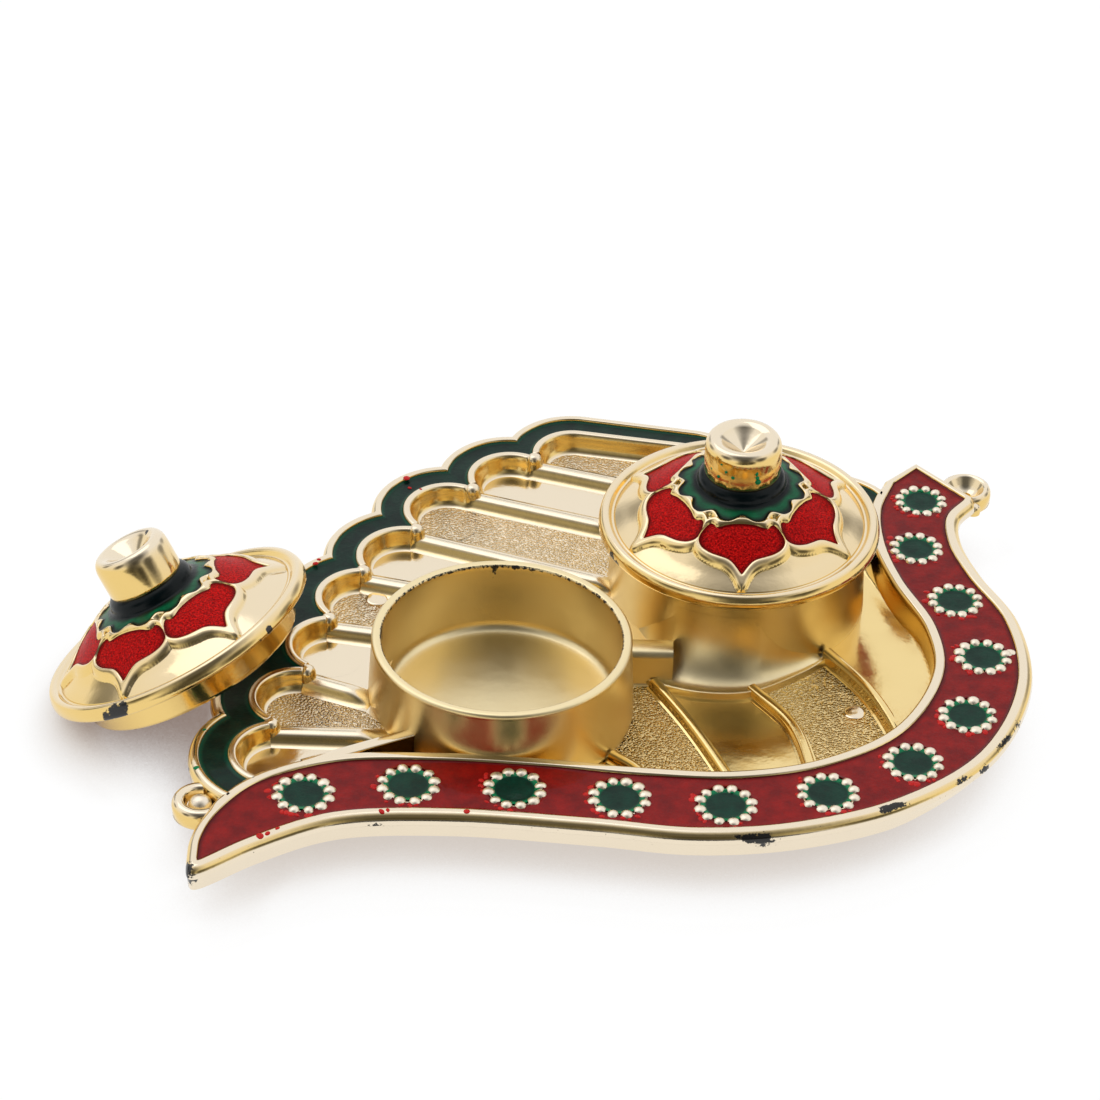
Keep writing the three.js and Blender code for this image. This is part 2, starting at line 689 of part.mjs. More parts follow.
// Knob: a short cylinder with a rounded shoulder, a cone sunk in its top and a pin below
function lidKnob() {
  const foot = collarTop + knobSeatGap;
  const profile = [
    [0, collarTop - knobPinDepth], [knobPinRadius, collarTop - knobPinDepth], [knobPinRadius, foot],
    [knobRadius - 0.3, foot], [knobRadius, foot + 0.25], [knobRadius - 0.1, knobTop - knobRound],
    [knobRadius - 0.25, knobTop - 0.3], [knobRadius - 0.6, knobTop - 0.06],
    [knobRadius - 0.9, knobTop], [knobDimpleRadius, knobTop - 0.15],
    [knobDimpleRadius - 0.5, knobTop - 0.5], [0, knobTop - knobDimpleDepth],
  ];
  return turned(profile, knobSteps);
}

const platter = new THREE.Group();
const pieces = [];

function addPiece(name, solid, finish) {
  const mesh = new THREE.Mesh(geometryOf(solid), new THREE.MeshStandardMaterial(finish));
  mesh.name = name;
  platter.add(mesh);
  pieces.push(mesh);
}

function addLid(name, place) {
  addPiece(`${name}_shell`, place(lidShell()), gold);
  addPiece(`${name}_knob`, place(lidKnob()), gold);
  addPiece(`${name}_centre_enamel`, place(lidCentreEnamel()), greenEnamel);
  for (let i = 0; i < lidPetals; i += 1) {
    addPiece(`${name}_petal_${i + 1}`, place(lidPetalEnamel(i)), redEnamel);
  }
}

// The loose lid stands on the low side of its plug and leans back over the scalloped edge
function placeLoose(solid) {
  const lean = looseLean * Math.PI / 180;
  const edge = lidPlugRadius * Math.sin(lean) + (lidPlugDepth - lidPlugChamfer) * Math.cos(lean);
  const foot = (lidPlugRadius - lidPlugChamfer) * Math.sin(lean) + lidPlugDepth * Math.cos(lean);
  const low = solid.rotate(0, 0, looseTurn - looseLowSide).rotate(0, looseLean, 0).rotate(0, 0, looseLowSide);
  return low.translate(looseCentre[0], looseCentre[1], Math.max(edge, foot) - footHeight);
}

addPiece('tray', traySolid(), gold);
addPiece('cup_open', cupSolid(cupOne), gold);
addPiece('cup_lidded', cupSolid(cupTwo), gold);
addPiece('band_enamel', redBandEnamel(), redEnamel);
addPiece('channel_enamel', greenChannelEnamel(), greenEnamel);
for (let i = 0; i < rosetteCentres.length; i += 1) {
  addPiece(`rosette_drop_${String(i + 1).padStart(2, '0')}`, rosetteDrop(i), greenEnamel);
}
addLid('seated_lid', (solid) => solid.translate(cupTwo[0], cupTwo[1], cupRimTop));
addLid('loose_lid', placeLoose);

// Centre the whole set over the origin with its foot on the table
const bounds = new THREE.Box3().setFromObject(platter);
const middle = bounds.getCenter(new THREE.Vector3());
for (const mesh of pieces) {
  mesh.geometry.translate(-middle.x, -middle.y, -bounds.min.z);
}

export default platter;
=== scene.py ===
from math import acos, atan2, cos, exp, hypot, pi, radians, sin, sqrt

import bpy
import numpy as np
from mathutils import Matrix, Vector


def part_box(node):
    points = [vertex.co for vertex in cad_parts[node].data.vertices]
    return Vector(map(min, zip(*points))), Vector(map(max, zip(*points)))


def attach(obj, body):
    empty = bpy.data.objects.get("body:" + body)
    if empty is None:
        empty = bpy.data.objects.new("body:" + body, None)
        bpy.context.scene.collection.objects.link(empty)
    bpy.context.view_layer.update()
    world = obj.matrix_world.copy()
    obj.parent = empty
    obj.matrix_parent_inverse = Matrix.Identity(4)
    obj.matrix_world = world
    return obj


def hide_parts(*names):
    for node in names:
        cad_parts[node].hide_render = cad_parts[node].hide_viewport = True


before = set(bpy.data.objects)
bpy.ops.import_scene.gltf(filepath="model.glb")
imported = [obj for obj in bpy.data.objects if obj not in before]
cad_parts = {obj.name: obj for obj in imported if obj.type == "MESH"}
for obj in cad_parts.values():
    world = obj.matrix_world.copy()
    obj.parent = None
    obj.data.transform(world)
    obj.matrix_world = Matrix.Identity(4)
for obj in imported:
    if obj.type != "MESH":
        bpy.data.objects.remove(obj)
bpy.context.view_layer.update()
rng = np.random.default_rng(7)
scene = bpy.context.scene

# Metallised gold: champagne-gold mirror coat laid in vacuum over moulded plastic.
# Its colour carries painted light and shade: cream on faces that look up, deep gold on walls and in hollows,
# and it is worn to dark specks along the edges.
MM = 0.001


def put(tree, socket, value):
    """Gives a socket its value, or joins it to another node's output."""
    if isinstance(value, bpy.types.NodeSocket):
        tree.links.new(value, socket)
    else:
        socket.default_value = value


def add_node(tree, kind, *inputs, **values):
    """A shader node with its first inputs in order, then settings and inputs by name."""
    node = tree.nodes.new("ShaderNode" + kind)
    for socket, value in zip(node.inputs, inputs):
        put(tree, socket, value)
    for key, value in values.items():
        if hasattr(node, key):
            setattr(node, key, value)
        else:
            put(tree, node.inputs[key], value)
    return node


def maths(tree, operation, first, second=0.0):
    return add_node(tree, "Math", first, second, operation=operation).outputs[0]


def kept(tree, name):
    """A number kept on each point of the piece."""
    return add_node(tree, "Attribute", attribute_name=name).outputs["Fac"]


def texture_place(tree, scale):
    """Texture positions in millimetres times scale, carried along with the object."""
    place = add_node(tree, "TexCoord").outputs["Object"]
    return add_node(tree, "Mapping", Vector=place, Scale=(scale / MM,) * 3).outputs["Vector"]


def noise(tree, scale, detail=4.0, rough=0.55):
    place = texture_place(tree, scale)
    return add_node(tree, "TexNoise", Vector=place, Scale=1.0, Detail=detail, Roughness=rough).outputs["Fac"]


def ramp(tree, source, low, high, from_value=0.0, to_value=1.0):
    return add_node(tree, "MapRange", source, low, high, from_value, to_value).outputs["Result"]


def mix_colour(tree, factor, first, second):
    node = add_node(tree, "Mix", factor, data_type="RGBA")
    for socket, value in ((node.inputs[6], first), (node.inputs[7], second)):
        put(tree, socket, (*value, 1) if isinstance(value, tuple) else value)
    return node.outputs[2]


def bump(tree, height, strength, distance, **under):
    node = add_node(tree, "Bump", Height=height, Strength=strength, Distance=distance, **under)
    return node.outputs["Normal"]


def set_up(shader, values):
    for name, value in values.items():
        put(shader.id_data, shader.inputs[name], value)


def new_material(name, colour, metallic, roughness):
    material = bpy.data.materials.new(name)
    material.use_nodes = True
    shader = material.node_tree.nodes["Principled BSDF"]
    set_up(shader, {"Base Color": (*colour, 1), "Metallic": metallic, "Roughness": roughness})
    return material, material.node_tree, shader


# Painted lit tone for faces that look up and painted shaded tone for walls; the black base coat shows where
# the gold is worn off
LIT_FACE_GOLD = (0.85, 0.74, 0.57)
SHADED_WALL_GOLD = (0.84, 0.6, 0.22)
BASE_COAT = (0.012, 0.01, 0.008)


def gold_material(kind="", pebbles=0.0, painted_lit_tone=LIT_FACE_GOLD, shaded_wall_tone=SHADED_WALL_GOLD, satin=0.0):
    material, tree, shader = new_material("metallised_gold" + kind, painted_lit_tone, 1.0, 0.12)
    # Painted light and shade: faces that look up get the lit tone and walls the shaded tone, shifted further
    # by the number kept on each point
    facing = add_node(tree, "NewGeometry").outputs["Normal"]
    up = maths(tree, "ABSOLUTE", add_node(tree, "SeparateXYZ", facing).outputs["Z"])
    tone = mix_colour(tree, ramp(tree, maths(tree, "ADD", up, kept(tree, "painted_lit_tone")), 0.3, 0.85), shaded_wall_tone, painted_lit_tone)
    chip = ramp(tree, maths(tree, "ADD", kept(tree, "worn"), noise(tree, 2.2, 4.0, 0.7)), 1.08, 1.14)
    normal = bump(tree, noise(tree, 0.8, 2.0), 0.25, 0.06 * MM)
    if pebbles:
        place = texture_place(tree, 3.8)
        cells = add_node(tree, "TexVoronoi", feature="SMOOTH_F1", Vector=place, Scale=1.0, Smoothness=0.35)
        lumps = ramp(tree, cells.outputs["Distance"], 0.0, 0.75, 1.0, 0.0)
        normal = bump(tree, lumps, 1.0, 0.24 * MM * pebbles, Normal=normal)
        normal = bump(tree, noise(tree, 6.0, 3.0), 0.9, 0.06 * MM * pebbles, Normal=normal)
    set_up(shader, {
        "Base Color": mix_colour(tree, chip, tone, BASE_COAT),
        "Metallic": ramp(tree, chip, 0, 1, 1.0, 0.0),
        "Roughness": ramp(tree, noise(tree, 0.35, 3.0), 0.35, 0.7, 0.09 + satin, 0.17 + satin),
        "Normal": normal,
    })
    return material


gold = gold_material()
gold_pebbled = gold_material("_pebbled", 1.0)
# Painted shade: copies of the gold with a deeper, more saturated lit tone for the sunken deep floor and its
# dividers
gold_recess_shaded = gold_material("_recess_shaded", painted_lit_tone=(0.87, 0.67, 0.31))
gold_recess_shaded_pebbled = gold_material("_recess_shaded_pebbled", 1.0, (0.87, 0.69, 0.36))
gold_satin = gold_material("_satin", painted_lit_tone=(0.88, 0.74, 0.45), shaded_wall_tone=(0.88, 0.68, 0.31), satin=0.2)
gold_walls = gold_material("_walls", satin=0.07)
gold_beads = gold_material("_beads", painted_lit_tone=(0.9, 0.8, 0.66), shaded_wall_tone=(0.88, 0.74, 0.5), satin=0.22)

# Wear: chips where the mirror coat came off at knocks and edges, down to the black base coat.
# Each is a place of the drawing, in millimetres, and a radius.
CHIPS = [
    (-33.3, -56.8, 4.6, 1.1), (-33.0, -57.0, 3.9, 0.9), (-15.0, -48.5, 3.6, 0.55), (-15.7, -48.8, 4.2, 0.4),
    (21.5, -49.3, 4.5, 1.15), (20.3, -49.5, 4.7, 0.7), (18.9, -49.6, 4.9, 0.45), (33.1, -44.9, 5.2, 0.6),
    (34.2, -44.3, 5.2, 0.55), (35.4, -43.7, 5.1, 0.5), (36.4, -42.9, 5.1, 0.4), (40.6, -39.9, 4.9, 0.5),
    (42.0, -38.7, 4.7, 0.6), (43.4, -37.2, 4.5, 0.5), (45.0, -34.1, 4.9, 0.5), (45.9, -32.6, 4.9, 0.5),
    (46.9, -30.9, 4.7, 0.8), (47.3, -29.7, 4.6, 0.5), (48.5, -25.9, 4.5, 0.4), (48.6, -24.6, 4.9, 0.4),
    (-42.0, -35.2, 6.3, 1.4), (-43.0, -34.8, 5.4, 0.9), (-41.3, -35.1, 7.2, 0.7), (-27.5, -29.4, 12.9, 0.6),
    (-28.4, -30.4, 12.5, 0.5), (6.3, -11.8, 10.5, 0.7), (6.8, -12.8, 10.1, 0.7), (-40.4, -17.7, 15.7, 0.45),
    (-43.2, -20.2, 13.4, 0.5), (-16.4, -24.6, 9.5, 0.6), (-15.9, -28.9, 9.6, 0.5), (-14.3, -32.4, 9.7, 0.5),
    (-5.6, -13.4, 9.6, 0.5), (-3.4, -13.4, 9.7, 0.4), (-1.8, -13.7, 9.6, 0.4), (-35.9, -49.0, 4.4, 0.7),
    (-35.6, -45.6, 4.2, 0.5), (-34.3, -41.2, 4.2, 0.6), (-34.4, -38.6, 4.3, 0.5), (-26.3, -51.9, 5.3, 0.3),
]
WORN_AT_KNOCK = 0.93
WORN_LESS_OUTWARDS = 0.6


def point_values(piece, name, values):
    """Keeps a number on each point of a piece for its material."""
    numbers = np.zeros(len(piece.data.vertices)) + values
    piece.data.attributes.new(name, "FLOAT", "POINT").data.foreach_set("value", numbers.astype(np.float32))


def wear(piece, base=0.0):
    """How worn each point of a piece is, from the nearest knocks."""
    points = (np.array([v.co for v in piece.data.vertices]) - placed((0, 0, 0))) / MM
    worn = base
    for x, y, z, r in CHIPS:
        gap = np.linalg.norm(points - (x, y, z), axis=1)
        worn = np.maximum(worn, WORN_AT_KNOCK - WORN_LESS_OUTWARDS * (gap / r) ** 2)
    point_values(piece, "worn", worn)


# Enamel: tinted lacquer run into the recesses by hand, glossy on top, gold showing where it is thin.
# Red for the border and petals, dark green for the channel, the rosettes and the middle of the lids.
def enamel_material(name, edge_pool_and_glint, open_tone, bright, grain=0.5, crinkled=False):
    """Tones at its edge and inside it; a dark edge tone stands for thick pooled enamel, a bright one for a
    painted glint on the green drops and, with thin enamel, on the channel; grain is the size in millimetres
    of the ground seen through it.
    """
    material, tree, shader = new_material(name, open_tone, 0.6 if crinkled else 0.0, 0.3)
    clouds = noise(tree, 5.5, 2.0, 0.7) if crinkled else noise(tree, 0.6, 4.0, 0.6)
    inside = mix_colour(tree, ramp(tree, clouds, 0.36, 0.68), open_tone, bright)
    fine = noise(tree, 1.0 / grain, 3.0, 0.65)
    set_up(shader, {
        "Base Color": mix_colour(tree, ramp(tree, kept(tree, "edge"), 0.02, 0.4), edge_pool_and_glint, inside),
        "Specular IOR Level": 0.1,
        "Coat Weight": 0.07 if crinkled else 0.13,
        "Coat Roughness": 0.03,
        "Coat IOR": 1.55,
        "Normal": bump(tree, fine, 1.0 if crinkled else 0.35, (0.16 if crinkled else 0.1) * MM),
        "Coat Normal": bump(tree, noise(tree, 0.7, 2.0), 0.15, 0.1 * MM),
    })
    if crinkled:
        set_up(shader, {"Specular Tint": (*bright, 1)})
    return material


red = enamel_material("red_enamel", (0.1, 0.0, 0.001), (0.2, 0.001, 0.002), (0.35, 0.004, 0.003))
red_smear = enamel_material("red_enamel_smear", (0.6, 0.01, 0.01), (0.6, 0.01, 0.01), (0.75, 0.02, 0.015))
green_smear_and_glint = enamel_material("green_enamel_smear_and_glint", (0.0, 0.22, 0.08), (0.0, 0.22, 0.08), (0.01, 0.3, 0.1))
# Its bright edge tone is partly thin enamel over gold and partly a painted glint on the meniscus
green = enamel_material("green_enamel", (0.0, 0.08, 0.04), (0.001, 0.014, 0.01), (0.002, 0.032, 0.019))
# Painted highlight: the drop's bright green edge tone stands for a glint on its meniscus
green_drop_with_glint = enamel_material("green_enamel_drop_with_glint", (0.0, 0.24, 0.09), (0.0, 0.024, 0.014), (0.0, 0.05, 0.028))
red_crinkled = enamel_material(
    "red_enamel_crinkled", (0.12, 0.001, 0.002), (0.2, 0.001, 0.002), (0.85, 0.012, 0.01), 0.24, True)
green_clear = enamel_material(
    "green_enamel_clear", (0.0, 0.004, 0.005), (0.0, 0.085, 0.035), (0.0, 0.16, 0.06), 0.8)

# Border of the tray: one moulded rim from the tail along the front and round the right-hand end.
# Its outside rounds down to a set-back skirt, its inside falls to the floor, and a pocket lies between.
cup_low, cup_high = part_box("cup_lidded")
CUP_ONE = (-4.5, -25.4)
CUP_TWO = (19.4, -5.5)
CUP_SEAT = 1.0
FOOT = 3.0
# The drawing's origin in the frame, found from the cup that stands at CUP_TWO
ORIGIN = ((cup_low + cup_high) / 2).xy - Vector(CUP_TWO) * MM
BASE = cup_low.z - CUP_SEAT * MM

RIM_TOP = 5.3
POCKET = 4.5
DECK_UNDER = 3.6
SKIRT_FOOT = 2.6
SKIRT_FOOT_FAR = 3.9
DEEP_FLOOR = 1.0
OUTER_WIDTH = 1.6
INNER_WIDTH = 1.2
TAIL = np.array((-32.5, -55.9))
OUTER_TAIL = np.array((-33.6, -58.6))
APEX = np.array((39.0, 13.4))
OUTER_LINE = [
    TAIL, (-27.6, -52.0), (-20.2, -48.0), (-9.3, -46.8), (5, -47.6), (15, -48.5), (24.8, -47.1),
    (34.6, -43.0), (42.9, -35.5), (47.4, -23.9), (46.8, -13.5), (43.5, -6.0), (41.7, 0.1), (41.8, 4.8),
    (43.9, 8.1),
]
INNER_LINE = [
    TAIL, (-32.4, -52.4), (-31.1, -48.5), (-27.4, -43.6), (-20.1, -40.2), (-10, -39.4), (0, -39.8),
    (10, -40.7), (19.2, -40.7), (27.6, -38.4), (35.5, -32.7), (40.1, -22.7), (39.7, -14.9), (36.6, -6.9),
    (35.1, -0.7), (35.0, 5.7), (36.5, 10.6),
]


def placed(points):
    """Points of the drawing, in millimetres, set in the frame, in metres."""
    return np.asarray(points, float) * MM + np.array([ORIGIN.x, ORIGIN.y, BASE])


def smooth_line(points, steps=10):
    """A smooth line through the points, with as many steps in every span."""
    p = [np.array(q, float) for q in points]
    p = [2 * p[0] - p[1], *p, 2 * p[-1] - p[-2]]
    line = []
    for a, b, c, d in zip(p, p[1:], p[2:], p[3:]):
        ab, bc, cd = (sqrt(np.linalg.norm(v - u)) for u, v in ((a, b), (b, c), (c, d)))
        m = ((b - a) / ab - (c - a) / (ab + bc) + (c - b) / bc) * bc
        n = ((c - b) / bc - (d - b) / (bc + cd) + (d - c) / cd) * bc
        for t in np.arange(steps) / steps:
            line.append(b + m * t + (3 * (c - b) - 2 * m - n) * t**2 + (2 * (b - c) + m + n) * t**3)
    line.append(p[-2])
    return np.array(line)


def normals_of(line):
    """Unit vectors to the left of a line."""
    along = np.gradient(line, axis=0)
    along = along / np.linalg.norm(along, axis=1)[:, None]
    return np.stack([-along[:, 1], along[:, 0]], 1)


def soften(line, rounds):
    """The line with its corners eased a little."""
    line = np.array(line, float)
    for _ in range(rounds):
        line[1:-1] = (line[:-2] + 2 * line[1:-1] + line[2:]) / 4
    return line


def run_along(line):
    """How far along a line each of its points lies."""
    return np.r_[0, np.cumsum(np.linalg.norm(np.diff(line, axis=0), axis=1))]


def respaced(line, count, closed=False):
    """The same line with evenly spaced points."""
    line = np.asarray(line, float)
    if closed:
        line = np.vstack([line, line[:1]])
    run = run_along(line)
    at = np.linspace(0, run[-1], count + closed)[:count]
    return np.stack([np.interp(at, run, column) for column in line.T], 1)


def at_height(line, z):
    """A line's points with one height for all, or one for each."""
    return np.column_stack([line, np.zeros(len(line)) + z])


def ring(angles, radius, z, centre=(0, 0)):
    """Points round a centre."""
    x, y = centre
    return at_height(np.column_stack([x + radius * np.cos(angles), y + radius * np.sin(angles)]), z)


def whole_turn(count):
    return np.linspace(0, 2 * pi, count, endpoint=False)


def nearest_to(line, place):
    """Which point of a line lies nearest to a place."""
    return np.argmin(np.hypot(*(line - place).T))


def skin(levels, count, around=True):
    """Four-sided faces between loops of points that follow each other."""
    pairs = [(k * count + i, k * count + (i + 1) % count)
             for k in range(levels - 1) for i in range(count if around else count - 1)]
    return [(a, b, b + count, a + count) for a, b in pairs]


def mesh_of(name, points, faces, material, body="platter", slot="gold_plate", crisp=40):
    """A piece of the drawing, set in the frame on its body."""
    mesh = bpy.data.meshes.new(name)
    mesh.from_pydata([tuple(p) for p in placed(points)], [], faces)
    mesh.validate()
    piece = bpy.data.objects.new(name, mesh)
    scene.collection.objects.link(piece)
    mesh.materials.append(material)
    for face in mesh.polygons:
        face.use_smooth = True
    mesh.set_sharp_from_angle(angle=radians(crisp))
    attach(piece, body)
    return piece


def shell_of(name, loops, material, around=True, **fixing):
    """A surface skinned over loops of points that all have the same count."""
    loops = np.asarray(loops, float)
    return mesh_of(name, loops.reshape(-1, 3), skin(*loops.shape[:2], around), material, **fixing)


def flat_panel(name, points, material):
    mesh_of(name, points, [tuple(range(len(points)))], material)


outer_line = smooth_line(OUTER_LINE)
inner_line = smooth_line(INNER_LINE)


def border_loop(share_out, share_in):
    """The border's closed edge at shares of the rims' widths, and where its inner side begins."""
    outer = outer_line - normals_of(outer_line) * OUTER_WIDTH * share_out
    inner = inner_line + normals_of(inner_line) * INNER_WIDTH * share_in
    ends = (share_out + share_in) / 2
    tail = TAIL + (OUTER_TAIL - TAIL) * ends
    shoulder = outer_line[-1] + np.array((0.7, 0.2)) * OUTER_WIDTH * share_out
    apex = APEX + np.array((0, 0.8)) * OUTER_WIDTH * share_out
    front = np.vstack([outer[1:-1], shoulder])
    point = np.linspace(shoulder, apex, 14)[1:]
    inner = inner[1:][::-1]
    back = np.linspace(apex, inner[0], 10)[1:-1]
    # The tail is rounded off, most on its outside
    near = np.vstack([inner[-7:], tail, front[:7]])
    near = soften(respaced(near, 45), int(5 + 55 * ends))
    return np.vstack([near, front[7:], point, back, inner[:-7]]), 38 + len(front) + len(point)


# Share of the way across the rim, and height, from the pocket over the rim and down
OUTSIDE = [
    (0.0, 4.4), (0.0, 5.05), (0.04, 5.19), (0.11, 5.27), (0.18, 5.3), (0.44, 5.3), (0.52, 5.27),
    (0.64, 5.18), (0.76, 5.04), (0.86, 4.86), (0.92, 4.6), (0.945, 4.38), (0.955, 4.22), (0.94, 4.14),
    (0.9, 4.1), (0.875, 4.02), (0.8, 2.75), (0.77, 2.64), (0.7, 2.6), (0.3, 2.6), (0.24, 2.66), (0.2, 3.6),
]
INSIDE = [
    (0.0, 4.4), (0.0, 5.05), (0.05, 5.19), (0.12, 5.27), (0.2, 5.3), (0.66, 5.3), (0.78, 5.27), (0.88, 5.18),
    (0.95, 5.04), (1.0, 4.8), (1.02, 4.4), (1.04, 3.9), (1.06, 3.3), (1.08, 2.7), (1.1, 2.2), (1.13, 1.8),
    (1.18, 1.5), (1.26, 1.28), (1.38, 1.12), (1.55, 1.03), (1.8, 1.0), (2.2, 0.99),
]


def skirt_lift(x, z):
    """The skirt dies away towards the rounded end."""
    foot = np.interp(x, [34, 43], [SKIRT_FOOT, SKIRT_FOOT_FAR])
    return np.where(z < 4.1, np.maximum(z, foot), z)


def outside_share(loop, turn):
    """1 where the border's inner side is an outside edge, at its two ends, and 0 along the basin."""
    x, y = loop[:, 0], loop[:, 1]
    tail_end = np.clip(-47.2 - y, 0, 1) * (x < -20)
    far_end = np.clip(y - 9.0, 0, 1) * (x > 20)
    share = np.maximum(tail_end, far_end)
    share[: turn + 1] = 1.0
    return share


loops = []
for (so, zo), (si, zi) in zip(OUTSIDE, INSIDE):
    plain, turn = border_loop(so, si)
    across = border_loop(so, so * OUTER_WIDTH / INNER_WIDTH * 0.75)[0]
    share = outside_share(plain, turn)
    edge = plain * (1 - share[:, None]) + across * share[:, None]
    height = zo * share + zi * (1 - share)
    loops.append(at_height(edge, np.where(share > 0.5, skirt_lift(edge[:, 0], height), height)))
border = shell_of("tray_border", loops, gold)
outside = np.concatenate([outside_share(loop[:, :2], turn) for loop in loops]) > 0.5
heights = np.array(loops)[:, :, 2].ravel()
# Painted light and shade on the border: on its outside the skirt and low flank are painted lighter and the
# rounded edges darker, and along the basin it is all painted a little darker
tones = np.where(heights < 4.65, 0.85, np.where(heights < 5.27, -0.35, 0))
point_values(border, "painted_lit_tone", np.where(outside, tones, -0.1))
wear(border, np.where(outside & (heights < 5.25) & (heights > 3.9), 0.41, 0.22))
flat_panel("tray_pocket_floor", at_height(border_loop(0, 0)[0], POCKET), gold)

# Scalloped edge: ten moulded lobes along the far side that meet in cusps, with a channel for the enamel.
# The last three run together in one long sweep behind the seated lid.
LOBES = [
    (-25.8, -39.0, 5.1), (-24.7, -30.0, 4.85), (-21.7, -21.1, 4.8), (-19.0, -12.9, 5.0), (-15.0, -5.4, 5.2),
    (-10.8, 3.1, 4.88), (-4.4, 9.4, 4.7), (2.2, 14.1, 4.5), (14.0, 12.0, 4.8), (29.6, 4.8, 4.5),
]
CUSPED = 8
LOBE_RIM = 1.1
ARC_STEPS = 44


def crossing(a, b):
    """The outer point where two lobes' circles cross."""
    (ax, ay, ar), (bx, by, br) = a, b
    gap = hypot(bx - ax, by - ay)
    along = (gap**2 + ar**2 - br**2) / (2 * gap)
    out = sqrt(max(ar**2 - along**2, 0))
    ux, uy = (bx - ax) / gap, (by - ay) / gap
    return ax + ux * along - uy * out, ay + uy * along + ux * out


def tangent_direction(a, b):
    """The direction from both centres to where the outer common tangent touches."""
    (ax, ay, ar), (bx, by, br) = a, b
    return atan2(by - ay, bx - ax) + acos((ar - br) / hypot(bx - ax, by - ay))


border_wall = inner_line + normals_of(inner_line) * INNER_WIDTH * 0.5


def border_angle(disc, angle, limit):
    """The angle, on the way to a limit, at which a lobe's edge crosses the border's inner wall."""
    x, y, r = disc
    step = 0.01 if limit > angle else -0.01
    while (limit - angle) * step > 0:
        place = np.array([x + r * cos(angle), y + r * sin(angle)])
        near = nearest_to(border_wall, place)
        if (place - border_wall[near]) @ normals_of(border_wall)[near] < 0:
            break
        angle += step
    return angle


def scallop_arcs(share=0.0, more=0.0):
    """Each lobe's arc, from the tail on, a share of the channel's width and some more outside its rim."""
    discs = [(x, y, r + (2.8 - 0.12 * i) * share + more) for i, (x, y, r) in enumerate(LOBES)]
    starts = [border_angle(discs[0], radians(-150), -1.6)]
    ends = []
    for i, (a, b) in enumerate(zip(discs, discs[1:])):
        if i < CUSPED - 1:
            px, py = crossing(a, b)
            ends.append(atan2(py - a[1], px - a[0]))
            starts.append(atan2(py - b[1], px - b[0]))
        else:
            ends.append(tangent_direction(a, b))
            starts.append(ends[-1])
    ends.append(border_angle(discs[-1], radians(60), 0.1))
    return [(*disc, start, end - 2 * pi * (end > start)) for disc, start, end in zip(discs, starts, ends)]


def arc_line(arc, steps):
    x, y, r, start, end = arc
    return ring(np.linspace(start, end, steps), r, 0, (x, y))[:, :2]


def scallop_line(share=0.0, more=0.0):
    return np.vstack([arc_line(arc, ARC_STEPS) for arc in scallop_arcs(share, more)])


inner_arcs = scallop_arcs()
# Distance in from the outermost edge, and height
SCALLOP = [
    (1.1, 4.4), (1.1, 5.0), (1.08, 5.14), (1.03, 5.25), (0.95, 5.3), (0.56, 5.3), (0.44, 5.26), (0.3, 5.14),
    (0.17, 4.96), (0.07, 4.66), (0.01, 4.36), (0.0, 4.2), (0.05, 4.12), (0.14, 4.05), (0.2, 2.72),
    (0.24, 2.63), (0.3, 2.6), (1.0, 2.6), (1.05, 2.66), (1.1, 3.6),
]
loops = []
for inset, z in SCALLOP:
    line = scallop_line(1, LOBE_RIM - inset)
    loops.append(at_height(line, skirt_lift(line[:, 0], np.full(len(line), z))))
scallop = shell_of("tray_scallop", loops, gold, around=False)
heights = np.array(loops)[:, :, 2].ravel()
# Painted light and shade: the skirt and the foot of the outer flank are painted lighter, the rest a little
# darker
point_values(scallop, "painted_lit_tone", np.where(heights < 4.3, 0.4, -0.1))
wear(scallop, np.where((heights < 4.4) & (heights > 3.9), 0.45, 0.24))
loops = [at_height(scallop_line(share, 0.3 * share), POCKET) for share in (0.0, 1.0)]
shell_of("tray_channel_floor", loops, gold, around=False)

# Wells: eight sunk fingers moulded in from the lobes, with rounded ends and soft ridges between them.
# Every second one has a pebbled floor.
RIDGE_ENDS = [(-15.5, -34.1), (-17.2, -27.9), (-15, -17.6), (-11, -10.0), (7.5, -7.7), (7.5, 2.4), (9, 10.3)]
WELL_FLOOR = 3.2
# Distance in from the well's edge, height along the lobe's rim, height along a ridge
WELL_SIDE = [
    (-0.02, 4.4, 4.22), (0.0, 5.05, 4.22), (0.1, 5.25, 4.22), (0.2, 5.3, 4.21), (0.58, 5.3, 4.12),
    (0.74, 5.25, 4.02), (0.86, 5.1, 3.9), (0.96, 4.8, 3.76), (1.06, 4.35, 3.62), (1.2, 3.85, 3.46),
    (1.38, 3.48, 3.33), (1.6, 3.27, 3.24), (1.85, 3.2, 3.2),
]


def well_path(i):
    """A well's edge: in along one ridge, round the lobe, out along the next; and how far it is a ridge."""
    arc = arc_line(inner_arcs[i], 60)
    parts = [at_height(arc, 0)]
    if i > 0:
        parts.insert(0, at_height(np.linspace(RIDGE_ENDS[i - 1], arc[0], 60)[:-1], 1))
    if i < CUSPED - 1:
        parts.append(at_height(np.linspace(arc[-1], RIDGE_ENDS[i], 60)[1:], 1))
    else:
        parts += [at_height(arc_line(arc, 30), 0) for arc in inner_arcs[CUSPED:]]
    both = respaced(np.vstack(parts), 300)
    return soften(both[:, :2], 8), np.clip(soften(both[:, 2], 14) * 1.15 - 0.08, 0, 1)


def room_beside(path, side, most):
    """How far each point can move sideways before it would meet the rest of the line."""
    room = np.zeros(len(path))
    for reach in np.linspace(0.05, most, 40):
        moved = path + side * reach
        gap = np.hypot(*(moved[:, None] - path[None]).transpose(2, 0, 1)).min(1)
        room = np.where((gap > reach - 0.03) & (room > reach - 0.09), reach, room)
    return room


